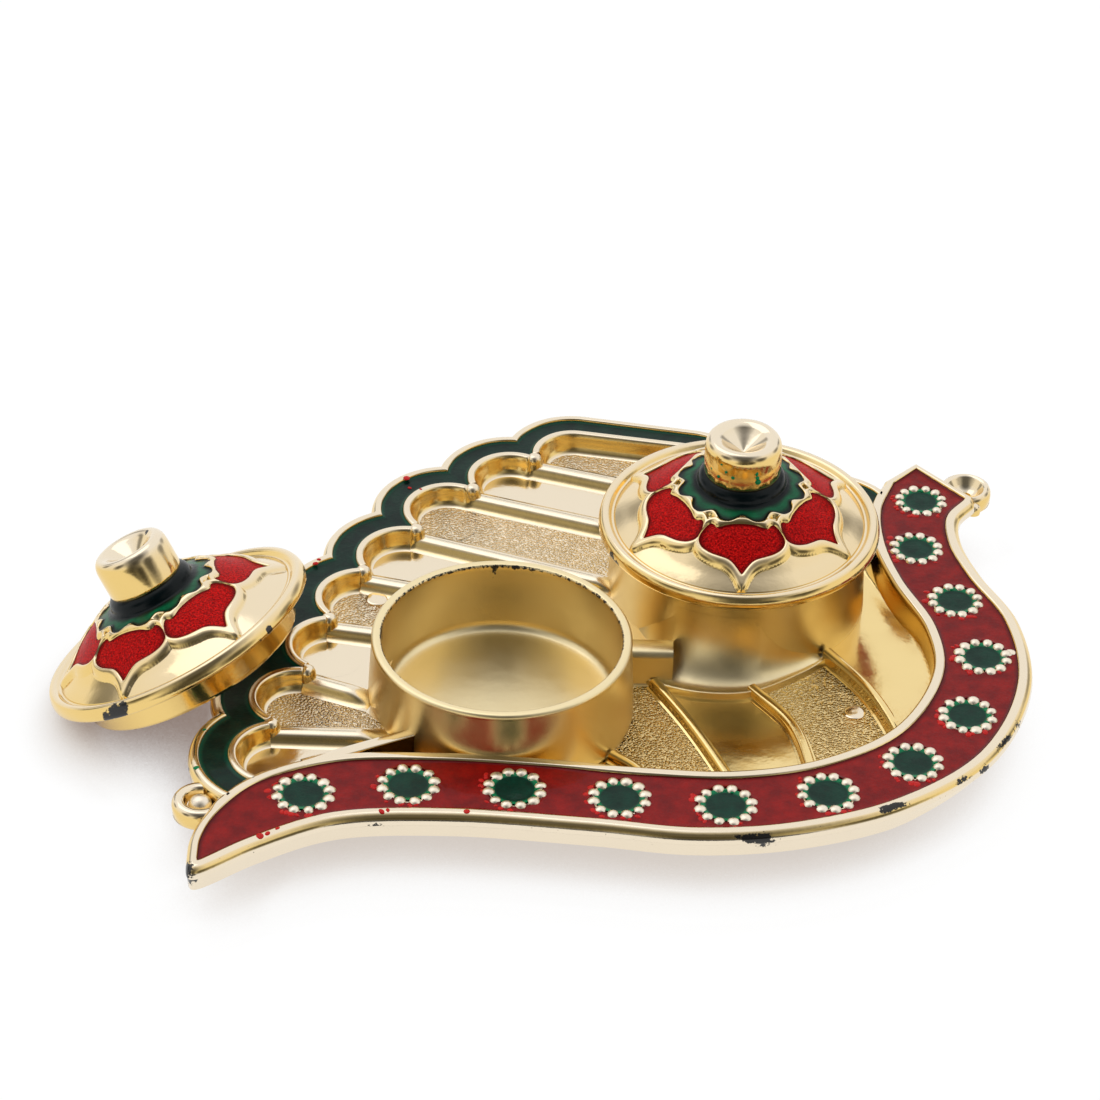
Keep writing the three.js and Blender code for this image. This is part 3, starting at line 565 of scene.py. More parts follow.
def die_away(path, weight, length=3.0):
    """The ridges sink into the floor at their free ends: 0 at the end, 1 further on."""
    run = run_along(path)
    start = run / length if weight[0] > 0.5 else 1
    end = (run[-1] - run) / length if weight[-1] > 0.5 else 1
    return np.sin(np.clip(np.minimum(start, end), 0, 1) * pi / 2) ** 0.8


for i, (x, y, r) in enumerate(LOBES[:CUSPED]):
    path, weight = well_path(i)
    inward = -normals_of(path)
    insets, rim_heights, ridge_heights = np.array(WELL_SIDE).T
    room = room_beside(path, inward, insets[-1])
    share = die_away(path, weight)
    loops = []
    for d in insets:
        reach = np.minimum(d, room)
        rim_z = np.interp(reach, insets, rim_heights)
        ridge_z = WELL_FLOOR + (np.interp(reach, insets, ridge_heights) - WELL_FLOOR) * share
        loops.append(at_height(path + inward * reach[:, None], rim_z * (1 - weight) + ridge_z * weight))
    piece = shell_of(f"tray_well_{i + 1}", loops, gold_walls, around=False)
    # Painted shade: the steep walls of each well are painted darker than its rim and floor
    tones = np.interp(insets, (0.6, 0.9, 1.5, 1.7), (0, -0.35, -0.35, 0))
    point_values(piece, "painted_lit_tone", np.repeat(tones, len(path)))
    material = gold_pebbled if i % 2 else gold
    floor = loops[-1][room > insets[-1] - 0.06, :2]
    flat_panel(f"tray_well_{i + 1}_floor", at_height(floor, WELL_FLOOR), material)
    flat_panel(f"tray_well_{i + 1}_end", ring(whole_turn(96), r - 1.8, WELL_FLOOR + 0.004, (x, y)), material)


def round_cup(centre, start, end, radius=13.2):
    """Points along a cup's wall between two angles in degrees."""
    return ring(np.radians(np.linspace(start, end, 40)), radius, 0, centre)[:, :2]


def patch_between(name, low, high, z, material, left=(), right=(), across=240, along=60, rise=0.0):
    """A patch between a near and a far line, its sides on lines of their own, rising to the far line."""
    low = respaced(low, across)
    high = respaced(high, across)
    left = respaced([low[0], *left, high[0]], along)
    right = respaced([low[-1], *right, high[-1]], along)
    u = np.linspace(0, 1, across)[None, :, None]
    v = np.linspace(0, 1, along)[:, None, None]
    flat = (1 - v) * low[None] + v * high[None] + (1 - u) * left[:, None] + u * right[:, None]
    flat = flat - (1 - u) * (1 - v) * low[0] - u * (1 - v) * low[-1]
    flat = flat - (1 - u) * v * high[0] - u * v * high[-1]
    height = z + rise * v ** 2.5 + 0 * flat[:, :, :1]
    shell_of(name, np.concatenate([flat, height], axis=2), material, around=False)


# The bed reaches a little past the middle of each lobe, under the ends of the wells
near = [(-24.5, -41.5), (-18.4, -37.6), *round_cup(CUP_ONE, 228, 36), *round_cup(CUP_TWO, 237, 24)]
far = [arc_line((x, y, 0.42 * r, start, end), 3)[1] for x, y, r, start, end in inner_arcs]
patch_between("tray_well_bed", near, [*far, (34, 2)], WELL_FLOOR - 0.01, gold, along=2)

# Deep floor: the lowest part of the moulded tray, in front of the cups and round to the right.
# Curved dividers stand on it, two panels are pebbled, and the last one on the right lies higher.
DIVIDERS = [
    [(6.8, -33.0), (9.6, -35.6), (12.6, -40.8)],
    [(11.0, -20.9), (14.6, -27.6), (17.9, -35.1), (20.3, -41.5)],
    [(20.9, -21.4), (24.8, -27.1), (26.4, -33.4), (27.0, -40.5)],
    [(28.7, -15.7), (32.5, -21.4), (34.8, -26.9), (36.4, -33.5)],
]
DIVIDER_TOPS = (1.95, 1.95, 1.95, 2.5)
RIB = [(-23.4, -40.6), (-18.4, -38.0), (-12.6, -35.0)]
RIGHT_FLOOR = 1.7
RIGHT_FLOOR_RISE = 2.3
BAR_STEPS = 60


def bar_along(name, line, width, top, material, rounding):
    """A bar swept along a line, rounded over at the top and eased into the floor at its foot."""
    line = respaced(soften(respaced(line, BAR_STEPS * 3), 10), BAR_STEPS)
    half = width / 2
    foot = [(half, 0.25), (half + 0.12, 0.08), (half + 0.35, 0.02)]
    profile = [(-across, DEEP_FLOOR + z) for across, z in foot[::-1]]
    for t in np.linspace(pi, 0, 9):
        flat = (half - rounding) * np.sign(cos(t)) * (abs(cos(t)) > 0.01)
        profile.append((flat + rounding * cos(t), top - rounding + rounding * sin(t)))
    profile += [(across, DEEP_FLOOR + z) for across, z in foot]
    loops = [at_height(line + normals_of(line) * across, z) for across, z in profile]
    shell_of(name, loops, material, around=False)


def border_between(start, end):
    """The part of the border's inner line between two places on it."""
    a, b = nearest_to(inner_line, start), nearest_to(inner_line, end)
    return inner_line[a:b + 1] if b > a else inner_line[b:a + 1][::-1]


paths = [smooth_line(points, 12) for points in DIVIDERS]
sides = [RIB[::-1], *paths, ()]
corners = [RIB[0], *[path[-1] for path in paths], (35.2, 3.0)]
starts = [points[0] for points in DIVIDERS]
# The deep floor's panels take the painted-shade copies of the gold
for i, (name, near, material) in enumerate([
        ("left", round_cup(CUP_ONE, 229, 326), gold_recess_shaded),
        ("pebbled_1", [*round_cup(CUP_ONE, 326, 380), starts[1]], gold_recess_shaded_pebbled),
        ("middle", [starts[1], (16, -20.5), starts[2]], gold_recess_shaded),
        ("pebbled_2", [starts[2], starts[3]], gold_recess_shaded_pebbled),
        ("right", round_cup(CUP_TWO, 312, 402), gold_recess_shaded)]):
    z, rise = (RIGHT_FLOOR, RIGHT_FLOOR_RISE) if name == "right" else (DEEP_FLOOR, 0.0)
    patch_between(f"tray_floor_{name}", near, border_between(corners[i], corners[i + 1]), z, material,
                  left=sides[i], right=sides[i + 1], rise=rise)
for i, path in enumerate(paths):
    bar_along(f"tray_divider_{i + 1}", path, 1.15, DIVIDER_TOPS[i], gold_recess_shaded, 0.48)
bar_along("tray_rib", smooth_line(RIB, 12), 1.25, RIM_TOP, gold, 0.2)
bar_along("tray_block", [(8.3, -19.4), (12.8, -19.3)], 2.9, 5.0, gold_satin, 0.9)

# Flare at the foot of the lidded cup: the moulded floor sweeps up to the cup's wall in one cove.
# A fine bead edges it; it reaches out furthest in front and closes in on the cup to the right.
FLARE_EDGE = [
    (6.6, -14.0), (7.2, -16.6), (8.3, -18.8), (10.6, -20.7), (13.4, -21.9), (15.7, -22.4), (18.3, -22.5),
    (20.6, -22.1), (22.9, -20.9), (25.2, -19.2), (27.2, -17.5), (28.7, -15.6), (30.2, -13.2), (31.4, -10.6),
    (32.2, -8.0), (32.7, -5.5), (32.8, -2.5), (32.5, 0.0),
]
FLARE_BEAD = ((0.42, 1.0), (0.34, 1.25), (0.3, 1.5), (0.24, 1.64), (0.12, 1.7), (0.0, 1.68), (-0.12, 1.6))
FLARE_FOOT = 1.55
FLARE_TALLEST = 6.6
CUP_WALL = 13.1
FLARE_POINTS = 160

edge = respaced(soften(smooth_line(FLARE_EDGE, 8), 6), FLARE_POINTS)
out = edge - np.array(CUP_TWO)
reach = np.linalg.norm(out, axis=1)
direction = out / reach[:, None]
span = np.maximum(reach - CUP_WALL, 0.15)
tall = np.minimum(FLARE_TALLEST, span * 2.2) * np.clip(np.arange(FLARE_POINTS) / 30, 0, 1) ** 0.7
loops = [at_height(edge + direction * push, z) for push, z in FLARE_BEAD]
for phi in np.linspace(0.1, 1, 20) * pi / 2:
    line = edge - direction * (span * sin(phi))[:, None]
    loops.append(at_height(line, FLARE_FOOT + tall * (1 - cos(phi))))
shell_of("tray_flare", loops, gold_satin, around=False)

# Eyes: a dished ring round a pearl-like boss at the tail, and one at the far end with a fine hole.
# Each is moulded with the tray, and its profile runs from its foot up, over and into the middle.
TAIL_EYE = (-33.0, -46.1)
TAIL_EYE_SIDE = [
    (2.35, 2.9), (2.6, 2.92), (2.72, 3.05), (2.8, 4.1), (2.77, 4.35), (2.66, 4.62), (2.48, 4.82),
    (2.25, 4.9), (1.85, 4.88), (1.68, 4.8), (1.55, 4.6), (1.45, 4.2), (1.3, 3.95), (1.0, 3.85), (0, 3.85),
]
PEARL = [
    (1.15, 3.8), (1.18, 4.05), (1.12, 4.3), (0.98, 4.55), (0.76, 4.76), (0.48, 4.9), (0.2, 4.97), (0, 4.98),
]
END_EYE_SIDE = [
    (0.68, 3.3), (2.2, 2.9), (2.5, 2.92), (2.65, 3.1), (2.7, 4.0), (2.65, 4.4), (2.5, 4.75), (2.28, 4.9),
    (2.02, 4.86), (1.85, 4.7), (1.5, 4.1), (1.1, 3.75), (0.9, 3.65), (0.72, 3.55), (0.68, 3.3),
]


def turned(profile, segments, centre=(0, 0)):
    """A profile of radii and heights turned about an upright axis."""
    return np.array([ring(whole_turn(segments), max(r, 1e-4), z, centre) for r, z in profile])


def turned_shell(name, profile, centre, material, segments=96, **fixing):
    return shell_of(name, turned(profile, segments, centre), material, **fixing)


turned_shell("tray_eye_tail", TAIL_EYE_SIDE, TAIL_EYE, gold)
turned_shell("tray_eye_pearl", PEARL, TAIL_EYE, gold_beads)
turned_shell("tray_eye_end", END_EYE_SIDE, (44.2, 10.8), gold)

# Shoulders: moulded round ends that carry the inner rim down to the ridge between two wells.
# A small nub stands below the far eye, and two pads left by the mould's pins lie on pebbled floors.
SHOULDER = [
    (0.95, 3.6), (0.93, 4.3), (0.86, 4.75), (0.74, 5.02), (0.56, 5.2), (0.36, 5.3), (0.15, 5.33), (0, 5.33),
]
NUB = [(0.75, 3.4), (0.78, 3.9), (0.7, 4.25), (0.5, 4.45), (0.25, 4.55), (0, 4.57)]
PIN_MARK = [(1.1, -0.05), (1.1, 0.08), (1.02, 0.14), (0.9, 0.16), (0.2, 0.13), (0, 0.13)]

for i, arc in enumerate(inner_arcs[:CUSPED - 1]):
    tip = arc_line(arc, 2)[-1]
    along = np.array(RIDGE_ENDS[i]) - tip
    centre = tip + along / np.linalg.norm(along) * 0.3
    wear(turned_shell(f"tray_shoulder_{i + 1}", SHOULDER, centre, gold_walls, segments=48))
turned_shell("tray_nub", NUB, (44.9, 8.0), gold, segments=40)
for i, (x, y, floor) in enumerate([(31.25, -24.4, DEEP_FLOOR), (-17.7, -10.7, WELL_FLOOR)]):
    side = [(r, floor + z) for r, z in PIN_MARK]
    turned_shell(f"tray_pin_mark_{i + 1}", side, (x, y), gold, segments=48)


# Underside: the basin's box below the deck, and the foot that the tray stands on.
# It is moulded with the tray, and the foot's edge is rounded on both sides.
def basin_line(inset):
    """The closed outline under the basin, drawn in by an inset."""
    lobed = scallop_line(more=-inset)
    inner = inner_line + normals_of(inner_line) * inset
    a, b = nearest_to(inner, lobed[0]), nearest_to(inner, lobed[-1])
    return respaced(np.vstack([lobed, inner[a:b + 1][::-1][1:-1]]), 420, closed=True)


shell_of("tray_foot", [at_height(basin_line(inset), z) for inset, z in (
    (-0.6, DECK_UNDER), (-0.3, DECK_UNDER), (0.0, DECK_UNDER - 0.2), (0.0, -FOOT + 0.15), (0.15, -FOOT),
    (1.25, -FOOT), (1.4, -FOOT + 0.15), (1.45, 0.0))], gold)
flat_panel("tray_under_floor", at_height(basin_line(1.4), 0.0), gold)

# Red enamel of the border, poured by hand round the rosettes and ending in a point at the far end.
# It is level in the middle, just under the rim, and drawn up a little at every wall.
ROSETTES = [
    (-23.1, -45.1), (-13.0, -43.2), (-2.7, -43.3), (7.5, -44.2), (17.8, -44.8), (27.8, -42.4),
    (36.3, -37.2), (42.1, -29.3), (44.2, -19.6), (41.9, -10.1), (38.3, -1.1), (39.2, 7.6),
]
RED_TOP = 4.98
GREEN_TOP = 4.93
ROWS, COLS = 520, 36
POINT_ROWS = 30
POINT_AT = 0.65


def rosette_size(i):
    return 3.1 - 0.05 * max(0, i - 5)


def gentle(points, size):
    """Small smooth waves of a poured surface."""
    x, y = points.T / size
    first = np.sin(x * 1.7 + 1.3 * np.sin(y * 0.9))
    return 0.03 * (first + np.sin(y * 1.9 + 1.1 * np.sin(x * 1.1 + 2))) / 2


def eased(count):
    """Shares from 0 to 1 that lie closer together at both ends."""
    return (1 - np.cos(np.linspace(0, pi, count))) / 2


def poured(name, plan, height, rows, material, slot):
    """A poured band over rows of points, with no sides."""
    faces = [(a, d, c, b) for a, b, c, d in skin(rows, len(plan) // rows, around=False)]
    return mesh_of(name, at_height(plan, height), faces, material, slot=slot, crisp=60)


outer_edge = respaced(np.vstack([TAIL, outer_line[1:-1], OUTER_LINE[-1]]), ROWS)
inner_edge = respaced(inner_line, ROWS)
across = eased(COLS)
plan = outer_edge[:, None] * (1 - across)[:, None] + inner_edge[:, None] * across[:, None]
# The last rows are drawn out into the point
bulge = APEX - (outer_edge[-1] * (1 - POINT_AT) + inner_edge[-1] * POINT_AT)
tent = np.minimum(across / POINT_AT, (1 - across) / (1 - POINT_AT))
into = np.clip((np.arange(ROWS) - (ROWS - POINT_ROWS)) / (POINT_ROWS - 1), 0, 1) ** 1.5
plan = (plan + bulge * (tent[None, :] * into[:, None])[:, :, None]).reshape(-1, 2)
width = np.linalg.norm(outer_edge - inner_edge, axis=1)[:, None]
to_side = (np.minimum(across, 1 - across)[None, :] * width).reshape(-1)
to_edge = np.minimum(to_side, np.repeat((ROWS - 1 - np.arange(ROWS)) * 0.3, COLS))
to_ring = np.min([np.hypot(*(plan - place).T) - (rosette_size(i) - 0.4)
                  for i, place in enumerate(ROSETTES)], axis=0)
height = RED_TOP + 0.13 * np.exp(-(to_edge / 0.16)) + 0.16 * np.exp(-np.maximum(to_ring, 0) / 0.2)
height = np.where(to_ring < -0.05, POCKET + 0.05, height + gentle(plan, 3.0))
red_band = poured("red_border_enamel", plan, height, ROWS, red, "red_enamel")
point_values(red_band, "edge", np.minimum(to_edge, np.maximum(to_ring, 0)))
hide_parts("band_enamel")

# Green enamel of the scalloped channel, darker and thicker than the red.
# It fills the channel between the two rims from one end to the other, and creeps up both walls, where its
# brighter green is partly thin enamel over gold and partly a painted glint on the meniscus.
shares = eased(15)
plan = np.vstack([scallop_line(share) for share in shares])
nearest = np.repeat(np.minimum(shares, 1 - shares) * 2.4, len(plan) // len(shares))
height = GREEN_TOP + 0.12 * np.exp(-nearest / 0.16) + gentle(plan, 2.2)
green_band = poured("green_channel_enamel", plan, height, len(shares), green, "green_enamel")
point_values(green_band, "edge", nearest)
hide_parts("channel_enamel")

# Rosettes: twelve round beads on a raised ring, each set round a drop of green enamel.
# The beads came off the mould a little uneven.
BEADS = 12
BEAD_FOOT = 4.84
# Distance in from the rosette's edge, and height
RING_SIDE = [
    (0.15, POCKET), (0.2, 4.8), (0.35, 4.9), (0.5, 4.93), (0.7, 4.9), (0.85, 4.8), (0.9, POCKET),
]
DROP_TONES = (0.0, 0.0, 0.05, 0.3, 0.7, 1.2, 2.0)
DROP_SEGMENTS = 60


def dome(centre, radius, tall, rings=7, segments=16, squash=1.0, turn=0.0):
    """Points and faces of a low round bead."""
    points = []
    for k in range(rings):
        phi = k / rings * pi / 2
        for j in range(segments):
            t = j / segments * 2 * pi
            u, v = radius * cos(phi) * cos(t), radius * cos(phi) * sin(t) * squash
            points.append((centre[0] + u * cos(turn) - v * sin(turn),
                           centre[1] + u * sin(turn) + v * cos(turn), centre[2] + tall * sin(phi)))
    points.append((centre[0], centre[1], centre[2] + tall))
    top = rings * segments
    faces = skin(rings, segments)
    faces += [(top - segments + j, top - segments + (j + 1) % segments, top) for j in range(segments)]
    return points, faces


def domes_of(name, domes, material, **fixing):
    """Many domes as one piece."""
    points = []
    faces = []
    for dome_points, dome_faces in domes:
        faces += [tuple(len(points) + a for a in face) for face in dome_faces]
        points += dome_points
    return mesh_of(name, points, faces, material, crisp=80, **fixing)


for i, (x, y) in enumerate(ROSETTES):
    size = rosette_size(i)
    domes = []
    for k in range(BEADS):
        t = (k + 0.5) / BEADS * 2 * pi + rng.uniform(-0.03, 0.03)
        radius = 0.66 * size / 3.1 * rng.uniform(0.92, 1.05)
        centre = (x + (size - 0.5) * cos(t), y + (size - 0.5) * sin(t), BEAD_FOOT)
        domes.append(dome(centre, radius, rng.uniform(0.38, 0.46), squash=rng.uniform(0.9, 1.05), turn=t))
    domes_of(f"rosette_beads_{i + 1:02d}", domes, gold_beads)
    side = [(size - d, z) for d, z in RING_SIDE]
    turned_shell(f"rosette_ring_{i + 1:02d}", side, (x, y), gold, segments=60)
    inner = size - 0.85
    drop = turned_shell(f"green_drop_with_glint_{i + 1:02d}", [
        (inner + 0.2, 5.06), (inner, 5.04), (inner - 0.12, 4.99), (inner - 0.3, 4.95), (inner - 0.7, 4.93),
        (inner * 0.4, 4.94), (0, 4.95)], (x, y), green_drop_with_glint, segments=DROP_SEGMENTS, slot="green_enamel")
    # The drop's outer rings take the bright edge tone, a painted glint on the meniscus against the beads
    point_values(drop, "edge", np.repeat(DROP_TONES, DROP_SEGMENTS))
    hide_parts(f"rosette_drop_{i + 1:02d}")


# Smears: specks of enamel that the brush left round the beads, on the rims and on the knobs, and painted
# glints.
# The red ones lie mostly on the near side of each rosette; the green ones inside each ring, on its right and
# far side, are painted glints at the upper edge of its drop.
def specks(name, places, material, slot, body="platter"):
    """Small flat drops; each place is x, y, z, radius, and the way it faces if that isn't up."""
    domes = []
    for x, y, z, r, *way in places:
        facing = way[0] if way else (0, 0, 1)
        turn = Vector(facing).to_track_quat("Z", "Y").to_matrix()
        flat_points, faces = dome((0, 0, 0), r, min(0.45 * r, 0.1), rings=3, segments=12,
                                  squash=rng.uniform(0.55, 0.95), turn=rng.uniform(0, 3))
        domes.append(([tuple(Vector((x, y, z)) + turn @ Vector(p)) for p in flat_points], faces))
    piece = domes_of(name, domes, material, body=body, slot=slot)
    point_values(piece, "edge", 1.0)


def round_rosettes(count, from_angle, to_angle, side, nearer, further, z, smallest, largest):
    """Places round every rosette, between two distances outside (side 1) or inside (-1) its edge."""
    places = []
    for i, (x, y) in enumerate(ROSETTES):
        for k in range(count):
            t = radians(rng.uniform(from_angle, to_angle))
            reach = rosette_size(i) + side * rng.uniform(nearer, further)
            places.append((x + reach * cos(t), y + reach * sin(t), z, rng.uniform(smallest, largest)))
    return places


specks("red_smears", [
    (-15.5, 8.4, 5.28, 0.4), (-15.1, 7.0, 4.98, 0.25), (-13.9, 6.4, 5.28, 0.2), (-15.4, -47.8, 5.28, 0.4),
    (-14.8, -47.6, 5.28, 0.3), (-7.2, -47.4, 5.28, 0.35), (-26.8, -52.1, 5.28, 0.45),
    (-26.1, -51.7, 5.28, 0.35), (-25.2, -50.9, 5.28, 0.3), (-24.2, -7.6, 5.29, 0.32),
    (-23.9, -6.9, 5.29, 0.25),
    *round_rosettes(11, 140, 310, 1, -0.1, 0.4, 4.97, 0.22, 0.45)], red_smear, "red_enamel")
specks("green_smears_and_glints", [
    (-33.7, -42.0, 5.26, 0.35), (-33.4, -36.0, 5.26, 0.25),
    # Painted glints: bright green specks inside each ring, at the upper edge of its drop
    *round_rosettes(5, -20, 130, -1, 0.7, 0.98, 5.0, 0.14, 0.26)], green_smear_and_glint, "green_enamel")
specks("gold_bridge", [(47.1, -18.7, 5.05, 0.55), (46.7, -19.0, 5.05, 0.5)], gold_beads, "gold_plate")

# Cups: two equal metal cups, drawn with a slight draft and a rolled rim, let into round seats in the tray.
# Each has a satin coat of gold, rubbed through along the open cup's inner edge.
CUP_TOP = 10.0
CUP_SEGMENTS = 240
CUP_SIDE = [
    (0, 1.02), (12.9, 1.02), (13.25, 1.1), (13.4, 1.35), (13.38, 2.0), (13.2, 6.0), (13.02, 9.3),
    (13.04, 9.52), (13.06, 9.66), (13.02, 9.82), (12.92, 9.94), (12.78, 10.0), (12.3, 10.0), (12.18, 9.97),
    (12.09, 9.88), (12.05, 9.75), (12.05, 9.3), (12.0, 6.0), (11.95, 3.2), (11.85, 2.75), (11.6, 2.35),
    (11.2, 2.12), (10.7, 2.02), (10.0, 2.0), (0, 2.0),
]


def cup(name, node, centre, rubbed=0.0):
    """One cup; the coat is rubbed through by so much along the inner edge of its rim."""
    piece = turned_shell(name, CUP_SIDE, centre, gold_satin, segments=CUP_SEGMENTS, crisp=50)
    on_edge = [rubbed if 12.04 < r < 12.25 and z > 9.5 else 0.0 for r, z in CUP_SIDE]
    wear(piece, np.repeat(on_edge, CUP_SEGMENTS))
    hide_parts(node)


cup("cup_open_drawn", "cup_open", CUP_ONE, rubbed=0.6)
cup("cup_lidded_drawn", "cup_lidded", CUP_TWO)

# Lids: two alike, each a moulded flange and dome with a six-petalled lotus outlined by rounded ribs,
# a plug that fits the cup, and a turned knob with a cone sunk in its top. One is seated, one leans.
# The profiles run from the plug's foot over the flange, and from the knob down the dome.
LID_SIDE = [
    (10.7, -0.3), (10.7, -3.2), (11.2, -3.2), (11.42, -3.12), (11.6, -2.95), (11.7, -2.7), (11.7, -0.15),
    (11.8, 0.0), (14.2, 0.0), (14.38, 0.07), (14.48, 0.2), (14.51, 0.42), (14.5, 0.7), (14.43, 1.02),
    (14.3, 1.3), (14.18, 1.47), (13.95, 1.55), (13.7, 1.55), (13.5, 1.49), (13.36, 1.36), (13.26, 1.2),
    (13.16, 1.1), (13.04, 1.08), (12.94, 1.12), (12.88, 1.17),
]
DOME = [
    (4.2, 5.72), (5.0, 5.62), (6.4, 5.2), (8.0, 4.4), (9.8, 3.2), (11.3, 2.15), (12.3, 1.55), (12.9, 1.16),
]
PETAL_HALF = [
    (0.0, 6.75), (1.3, 6.8), (2.5, 6.95), (3.1, 6.5), (3.45, 6.6), (4.1, 7.3), (4.3, 7.9), (4.0, 8.6),
    (3.2, 9.25), (2.3, 9.65), (1.5, 9.95), (0.95, 10.3), (0.5, 10.75), (0.0, 11.35),
]
RIB_HALF = [
    (0.0, 6.0), (3.4, 6.0), (4.4, 6.7), (4.85, 7.4), (4.95, 8.1), (4.6, 8.95), (3.9, 9.65), (2.9, 10.25),
    (1.95, 10.65), (1.25, 11.15), (0.72, 11.85), (0.36, 12.55), (0.0, 12.88),
]
RIB_RISE = 0.55
PETALS = 6
SECTOR = 120
MIDDLE_POINTS = 360


def dome_height(r):
    fine = np.linspace(DOME[0][0], DOME[-1][0], 200)
    return np.interp(r, fine, soften(np.interp(fine, *np.array(DOME).T), 60))


def petal_outline(half):
    right = smooth_line(half, 6)
    return np.vstack([right, right[1:-1][::-1] * np.array([-1, 1])])


def rotated(points, angle):
    c, s = cos(angle), sin(angle)
    return points @ np.array([[c, s], [-s, c]])


def signed_inside(points, a):
    """Distance to a closed outline, positive inside it."""
    b = np.roll(a, -1, 0)
    d = b - a
    rel = points[:, None] - a
    t = np.clip((rel * d).sum(2) / (d * d).sum(1), 0, 1)
    gap = np.linalg.norm(rel - t[:, :, None] * d, axis=2).min(1)
    x, y = points[:, :1], points[:, 1:]
    spans = (a[:, 1] > y) != (b[:, 1] > y)
    crosses = spans & (x < d[:, 0] * (y - a[:, 1]) / (d[:, 1] + 1e-12) + a[:, 0])
    return np.where(crosses.sum(1) % 2 == 1, gap, -gap)


def centre_radius(angle, peak=6.55, valley=5.75):
    """Twelve round lobes: the outline of the green middle. The angle is measured from a petal's axis."""
    return peak - (peak - valley) * np.abs(np.cos(6 * angle)) ** 3


def rounded_side(d, reach):
    t = np.clip(d / reach, 0, 1)
    return np.sqrt(1 - (1 - t) ** 2)


# Petal k points along -Y before it is turned, so that its axis lies at -90 degrees plus k sixths of a turn
PETAL_TURNS = [k * pi / 3 + pi for k in range(PETALS)]
petal_plan = petal_outline(PETAL_HALF)
rib_plan = petal_outline(RIB_HALF)
radii = np.concatenate([np.linspace(12.88, 11.2, 22), np.linspace(11.12, 4.3, 92)])
all_angles = -pi / 2 + (np.arange(SECTOR * PETALS) - SECTOR / 2) / (SECTOR * PETALS) * 2 * pi
flat = np.vstack([ring(all_angles[:SECTOR], r, 0)[:, :2] for r in radii])
enamel_in, rib_in = (
    np.max([signed_inside(flat, rotated(plan, PETAL_TURNS[k])) for k in (5, 0, 1)], axis=0)
    for plan in (petal_plan, rib_plan))
distance = np.linalg.norm(flat, axis=1)
middle = centre_radius(np.arctan2(flat[:, 1], flat[:, 0]) + pi / 2)
enamel_in = np.maximum(enamel_in, (middle - distance) * 0.85)
rib_in = np.maximum(rib_in + 0.16, (middle + 0.62 - distance) * 0.9)
rib = (0.3 + 0.7 * rounded_side(-enamel_in, 0.45)) * rounded_side(rib_in, 0.5)
lift = np.where(enamel_in > 0, np.clip(0.35 - enamel_in / 0.08, -0.8, 0.35), rib) * RIB_RISE
relief = (dome_height(distance) + np.where(rib_in <= 0, 0, lift)).reshape(len(radii), SECTOR)
lid_loops = np.array([ring(all_angles, r, z) for r, z in LID_SIDE] + [
    ring(all_angles, r, np.tile(z, PETALS)) for r, z in zip(radii, relief)])

KNOB = [
    (3.2, 7.0), (3.62, 7.02), (3.8, 7.1), (3.9, 7.28), (3.95, 7.6), (3.95, 9.9), (3.92, 10.4), (3.84, 10.78),
    (3.7, 11.06), (3.5, 11.28), (3.28, 11.38), (3.05, 11.4), (2.84, 11.37), (2.66, 11.3), (2.5, 11.22),
    (2.36, 11.15), (2.24, 11.06), (2.12, 10.96), (1.6, 10.6), (0.8, 10.04), (0.3, 9.7), (0.1, 9.58),
    (0, 9.56),
]
COLLAR = [
    (3.7, 7.3), (3.95, 7.18), (4.22, 7.0), (4.42, 6.72), (4.52, 6.4), (4.54, 6.15), (4.62, 5.98),
    (4.82, 5.88),
]
# Share of the way from the collar to the rib, height over the dome, and distance from the edge for the tone
MIDDLE_RINGS = (
    (0.15, 0.2, 0.12), (0.3, 0.19, 0.3), (0.5, 0.19, 0.6), (0.66, 0.19, 0.3), (0.78, 0.2, 0.14),
    (0.88, 0.21, 0.04), (0.94, 0.23, 0.0), (0.985, 0.27, 0.0), (1.02, 0.28, 0.0),
)
PETAL_RINGS = (1.015, 0.985, 0.95, 0.9, 0.84, 0.74, 0.6, 0.4, 0.2, 0.001)
PETAL_HEART = np.array([0, 8.5])
LID_UNDER = [
    (10.7, -3.2), (10.7, -0.3), (10.4, 0.9), (9.6, 2.0), (8.4, 3.0), (6.8, 3.9), (4.6, 4.5), (2, 4.6),
    (0, 4.6),
]


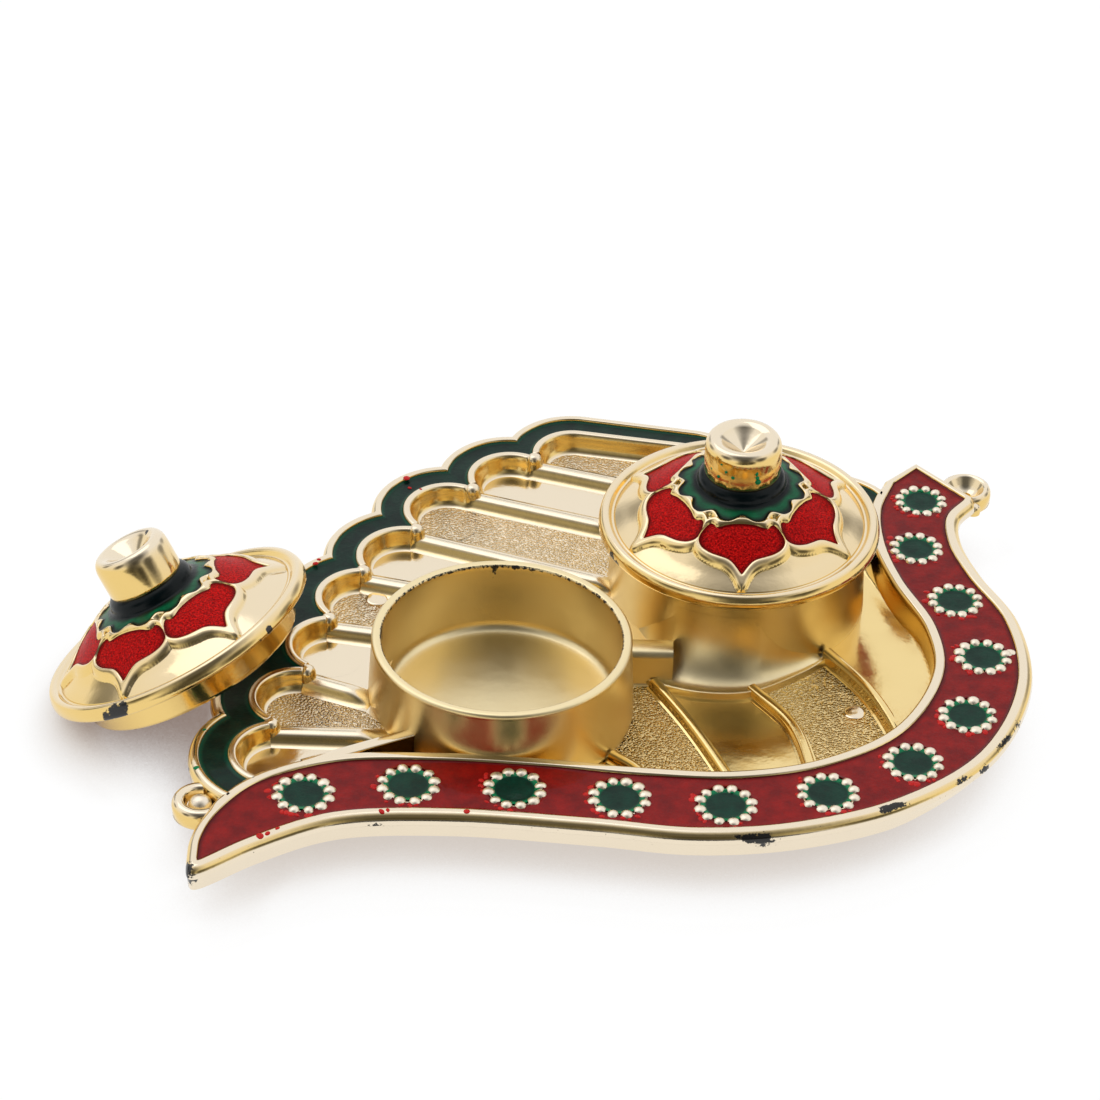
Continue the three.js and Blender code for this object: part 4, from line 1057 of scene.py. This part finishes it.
def lid(prefix, body, matrix):
    """Builds one lid from its plan, turned and set down by the matrix."""
    def part(name, loops, material, **fixing):
        points = np.asarray(loops)
        flat = np.c_[points.reshape(-1, 3), np.ones(points.size // 3)] @ np.array(matrix).T
        points = flat[:, :3].reshape(points.shape)
        return shell_of(f"{prefix}_{name}", points, material, body=body, **fixing)

    shell = part("lotus_shell", lid_loops, gold, crisp=60)
    part("inside", turned(LID_UNDER, 128), gold)
    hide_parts(f"{prefix}_shell")
    wear(shell, 0.18)
    # Painted shade: the whole lid shell is painted a little darker
    point_values(shell, "painted_lit_tone", -0.24)
    knob = part("turned_knob", turned(KNOB, 128), gold, crisp=60)
    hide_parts(f"{prefix}_knob")
    wear(knob)
    t = whole_turn(MIDDLE_POINTS)
    loops = [ring(t, r, z) for r, z in COLLAR]
    collar = COLLAR[-1][0]
    for share, rise, _ in MIDDLE_RINGS:
        r = collar + (centre_radius(t + pi / 2) - collar) * share
        loops.append(ring(t, r, dome_height(r) + rise))
    middle_piece = part("green_middle", loops, green_clear, slot="green_enamel", crisp=60)
    tones = [0.0] * len(COLLAR) + [tone for _, _, tone in MIDDLE_RINGS]
    point_values(middle_piece, "edge", np.repeat(tones, MIDDLE_POINTS))
    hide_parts(f"{prefix}_centre_enamel")
    depths = [max((1 - share) * 2.7, 0) for share in PETAL_RINGS]
    for k in range(PETALS):
        loops = []
        for share, depth in zip(PETAL_RINGS, depths):
            plan = rotated(PETAL_HEART + (petal_plan - PETAL_HEART) * share, PETAL_TURNS[k])
            height = dome_height(np.linalg.norm(plan, axis=1)) + 0.2
            loops.append(at_height(plan, height + 0.08 * exp(-depth / 0.12)))
        petal = part(f"red_petal_{k + 1}", loops, red_crinkled, slot="red_enamel", crisp=60)
        point_values(petal, "edge", np.repeat(depths, len(petal_plan)))
        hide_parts(f"{prefix}_petal_{k + 1}")


# The loose lid leans on the lobes and stands on the lower edge of its plug
LOOSE_CENTRE = (-37.0, -21.55)
LEAN = radians(30.4)
LOW_SIDE = radians(159)
LOOSE_TURN = radians(-17.25)
stands_at = max(r * sin(LEAN) - z * cos(LEAN) for r, z in ((11.2, -3.2), (11.7, -2.7))) + 0.045 - FOOT
lid("seated_lid", "seated_lid", Matrix.Translation((*CUP_TWO, CUP_TOP)))
lid("loose_lid", "loose_lid",
    Matrix.Translation((*LOOSE_CENTRE, stands_at)) @ Matrix.Rotation(LOW_SIDE, 4, "Z")
    @ Matrix.Rotation(LEAN, 4, "Y") @ Matrix.Rotation(LOOSE_TURN - LOW_SIDE, 4, "Z"))
specks("seated_lid_smears", [
    (16.2, -7.7, 18.9, 0.22, (-0.8, -0.6, 0)), (16.9, -8.5, 18.5, 0.27, (-0.6, -0.8, 0)),
    (17.6, -9.0, 19.4, 0.2, (-0.4, -0.9, 0)), (18.3, -9.3, 18.9, 0.22, (-0.3, -0.95, 0)),
    (17.1, -8.7, 20.1, 0.16, (-0.6, -0.8, 0)), (20.7, -9.2, 19.4, 0.27, (0.3, -0.95, 0)),
    (20.9, -9.2, 18.4, 0.33, (0.35, -0.94, 0)), (20.8, -9.2, 18.9, 0.25, (0.35, -0.94, 0)),
], green_smear_and_glint, "green_enamel", body="seated_lid")
specks("loose_lid_smears", [(-38.8, -20.7, 16.3, 0.35, (0.8, -0.4, 0.5))], green_smear_and_glint, "green_enamel",
       body="loose_lid")
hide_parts("tray")

# The white table that the set stands on: a plain, matt sheet that ends in front of the camera's view.
# As the camera and glossy reflections see it, its shade is painted: soft and brown close to the set, and
# darkest where the loose lid leans over it.
bpy.ops.mesh.primitive_plane_add(size=5, location=(0, 2.36, 0))
floor = bpy.context.object
floor.name = "floor"
WHITE = (0.84, 0.84, 0.84)
WARM_SHADE = (0.6, 0.53, 0.47)
BROWN_SHADE = (0.2, 0.13, 0.1)
white, tree, shader = new_material("white_table", WHITE, 0.0, 0.9)
shader.inputs["Specular IOR Level"].default_value = 0.0
close = add_node(tree, "AmbientOcclusion", samples=8, Distance=0.009).outputs["AO"]
wide = add_node(tree, "AmbientOcclusion", samples=8, Distance=0.03).outputs["AO"]
# Painted shade: two occlusion tests darken the floor's white glow to a warm tone near the rims and a brown
# one under the loose lid
under_rim = mix_colour(tree, ramp(tree, close, 0.3, 0.88), WARM_SHADE, (1.0, 1.0, 1.0))
place = add_node(tree, "SeparateXYZ", add_node(tree, "NewGeometry").outputs["Position"])
# The loose lid leans over the table at the left, and its painted shade is wide and brown there
away = maths(tree, "MAXIMUM", ramp(tree, place.outputs["X"], -0.034, -0.029),
             ramp(tree, place.outputs["Y"], -0.029, -0.021, 1.0, 0.0))
lit = maths(tree, "MAXIMUM", away, ramp(tree, wide, 0.06, 0.42))
bright = add_node(tree, "Emission", Color=mix_colour(tree, lit, BROWN_SHADE, under_rim), Strength=1.04)
seen = add_node(tree, "MixShader", 0.06, bright.outputs[0], shader.outputs[0])
path = add_node(tree, "LightPath")
looked_at = maths(tree, "MAXIMUM", path.outputs["Is Camera Ray"], path.outputs["Is Glossy Ray"])
choice = add_node(tree, "MixShader", looked_at, shader.outputs[0], seen.outputs[0])
tree.links.new(choice.outputs[0], tree.nodes["Material Output"].inputs["Surface"])
floor.data.materials.append(white)

# Camera at the height and turn of the photograph: a long lens that looks down at the set.
# It stands in front of the set and leans a little to one side.
TARGET = Vector(placed((0, 3.475, 0)))
DISTANCE = 0.4777
PITCH = radians(35.72)
ROLL = radians(1.84)
camera_data = bpy.data.cameras.new("camera")
camera = bpy.data.objects.new("camera", camera_data)
scene.collection.objects.link(camera)
camera_data.lens = 147.27
camera_data.sensor_width = 36
camera_data.clip_start = 0.01
back = Vector((0, -cos(PITCH), sin(PITCH)))
right = Vector((1, 0, 0))
up = back.cross(right)
tilted_right = right * cos(ROLL) + up * sin(ROLL)
tilted_up = back.cross(tilted_right)
turned_to = Matrix((tilted_right, tilted_up, back)).transposed().to_4x4()
camera.matrix_world = Matrix.Translation(TARGET + back * DISTANCE) @ turned_to
scene.camera = camera

# Soft studio light: a white tent, dark above the camera and in gaps at its sides.
# The gold mirrors the gaps as brown streaks, and one large, plain lamp hangs high behind.
world = bpy.data.worlds.new("studio")
scene.world = world
world.use_nodes = True
tree = world.node_tree
ways = add_node(tree, "TexCoord").outputs["Generated"]
background = tree.nodes["Background"]


def patch(direction, inner, outer, level):
    """1 outside a round patch of the tent and the level inside it, by the angle from its middle."""
    middle = tuple(Vector(direction).normalized())
    dot = add_node(tree, "VectorMath", ways, middle, operation="DOT_PRODUCT")
    return ramp(tree, dot.outputs["Value"], cos(radians(outer)), cos(radians(inner)), 1.0, level)


# Each patch by its direction, the angles where it is full and where it ends, and its brightness
tent = patch((0.0, -0.62, 0.78), 15, 46, 0.13)
for spot in (
        ((-0.75, -0.55, 0.35), 6, 20, 0.15), ((0.75, -0.6, 0.3), 8, 22, 0.12),
        ((0.1, -0.95, 0.3), 10, 26, 0.2), ((0.9, 0.35, 0.25), 5, 16, 0.3), ((-0.9, 0.4, 0.2), 5, 14, 0.3),
        ((0.66, 0.72, 0.22), 2, 13, 0.35), ((-0.6, 0.76, 0.24), 2, 13, 0.4),
        ((0.4, -0.9, 0.05), 4, 14, 0.1), ((0.0, -1.0, -0.12), 6, 26, 0.12)):
    tent = maths(tree, "MULTIPLY", tent, patch(*spot))
tree.links.new(tent, background.inputs["Strength"])
background.inputs["Color"].default_value = (1, 1, 1, 1)

key_light = bpy.data.lights.new("key_light", "AREA")
key_light.shape = "RECTANGLE"
key_light.size = 0.6
key_light.size_y = 0.6
key_light.energy = 0.6
lamp = bpy.data.objects.new("key_light", key_light)
scene.collection.objects.link(lamp)
lamp.location = (-0.3, 0.3, 0.8)
lamp.rotation_euler = (-Vector(lamp.location)).to_track_quat("-Z", "Y").to_euler()

scene.view_settings.view_transform = "Standard"
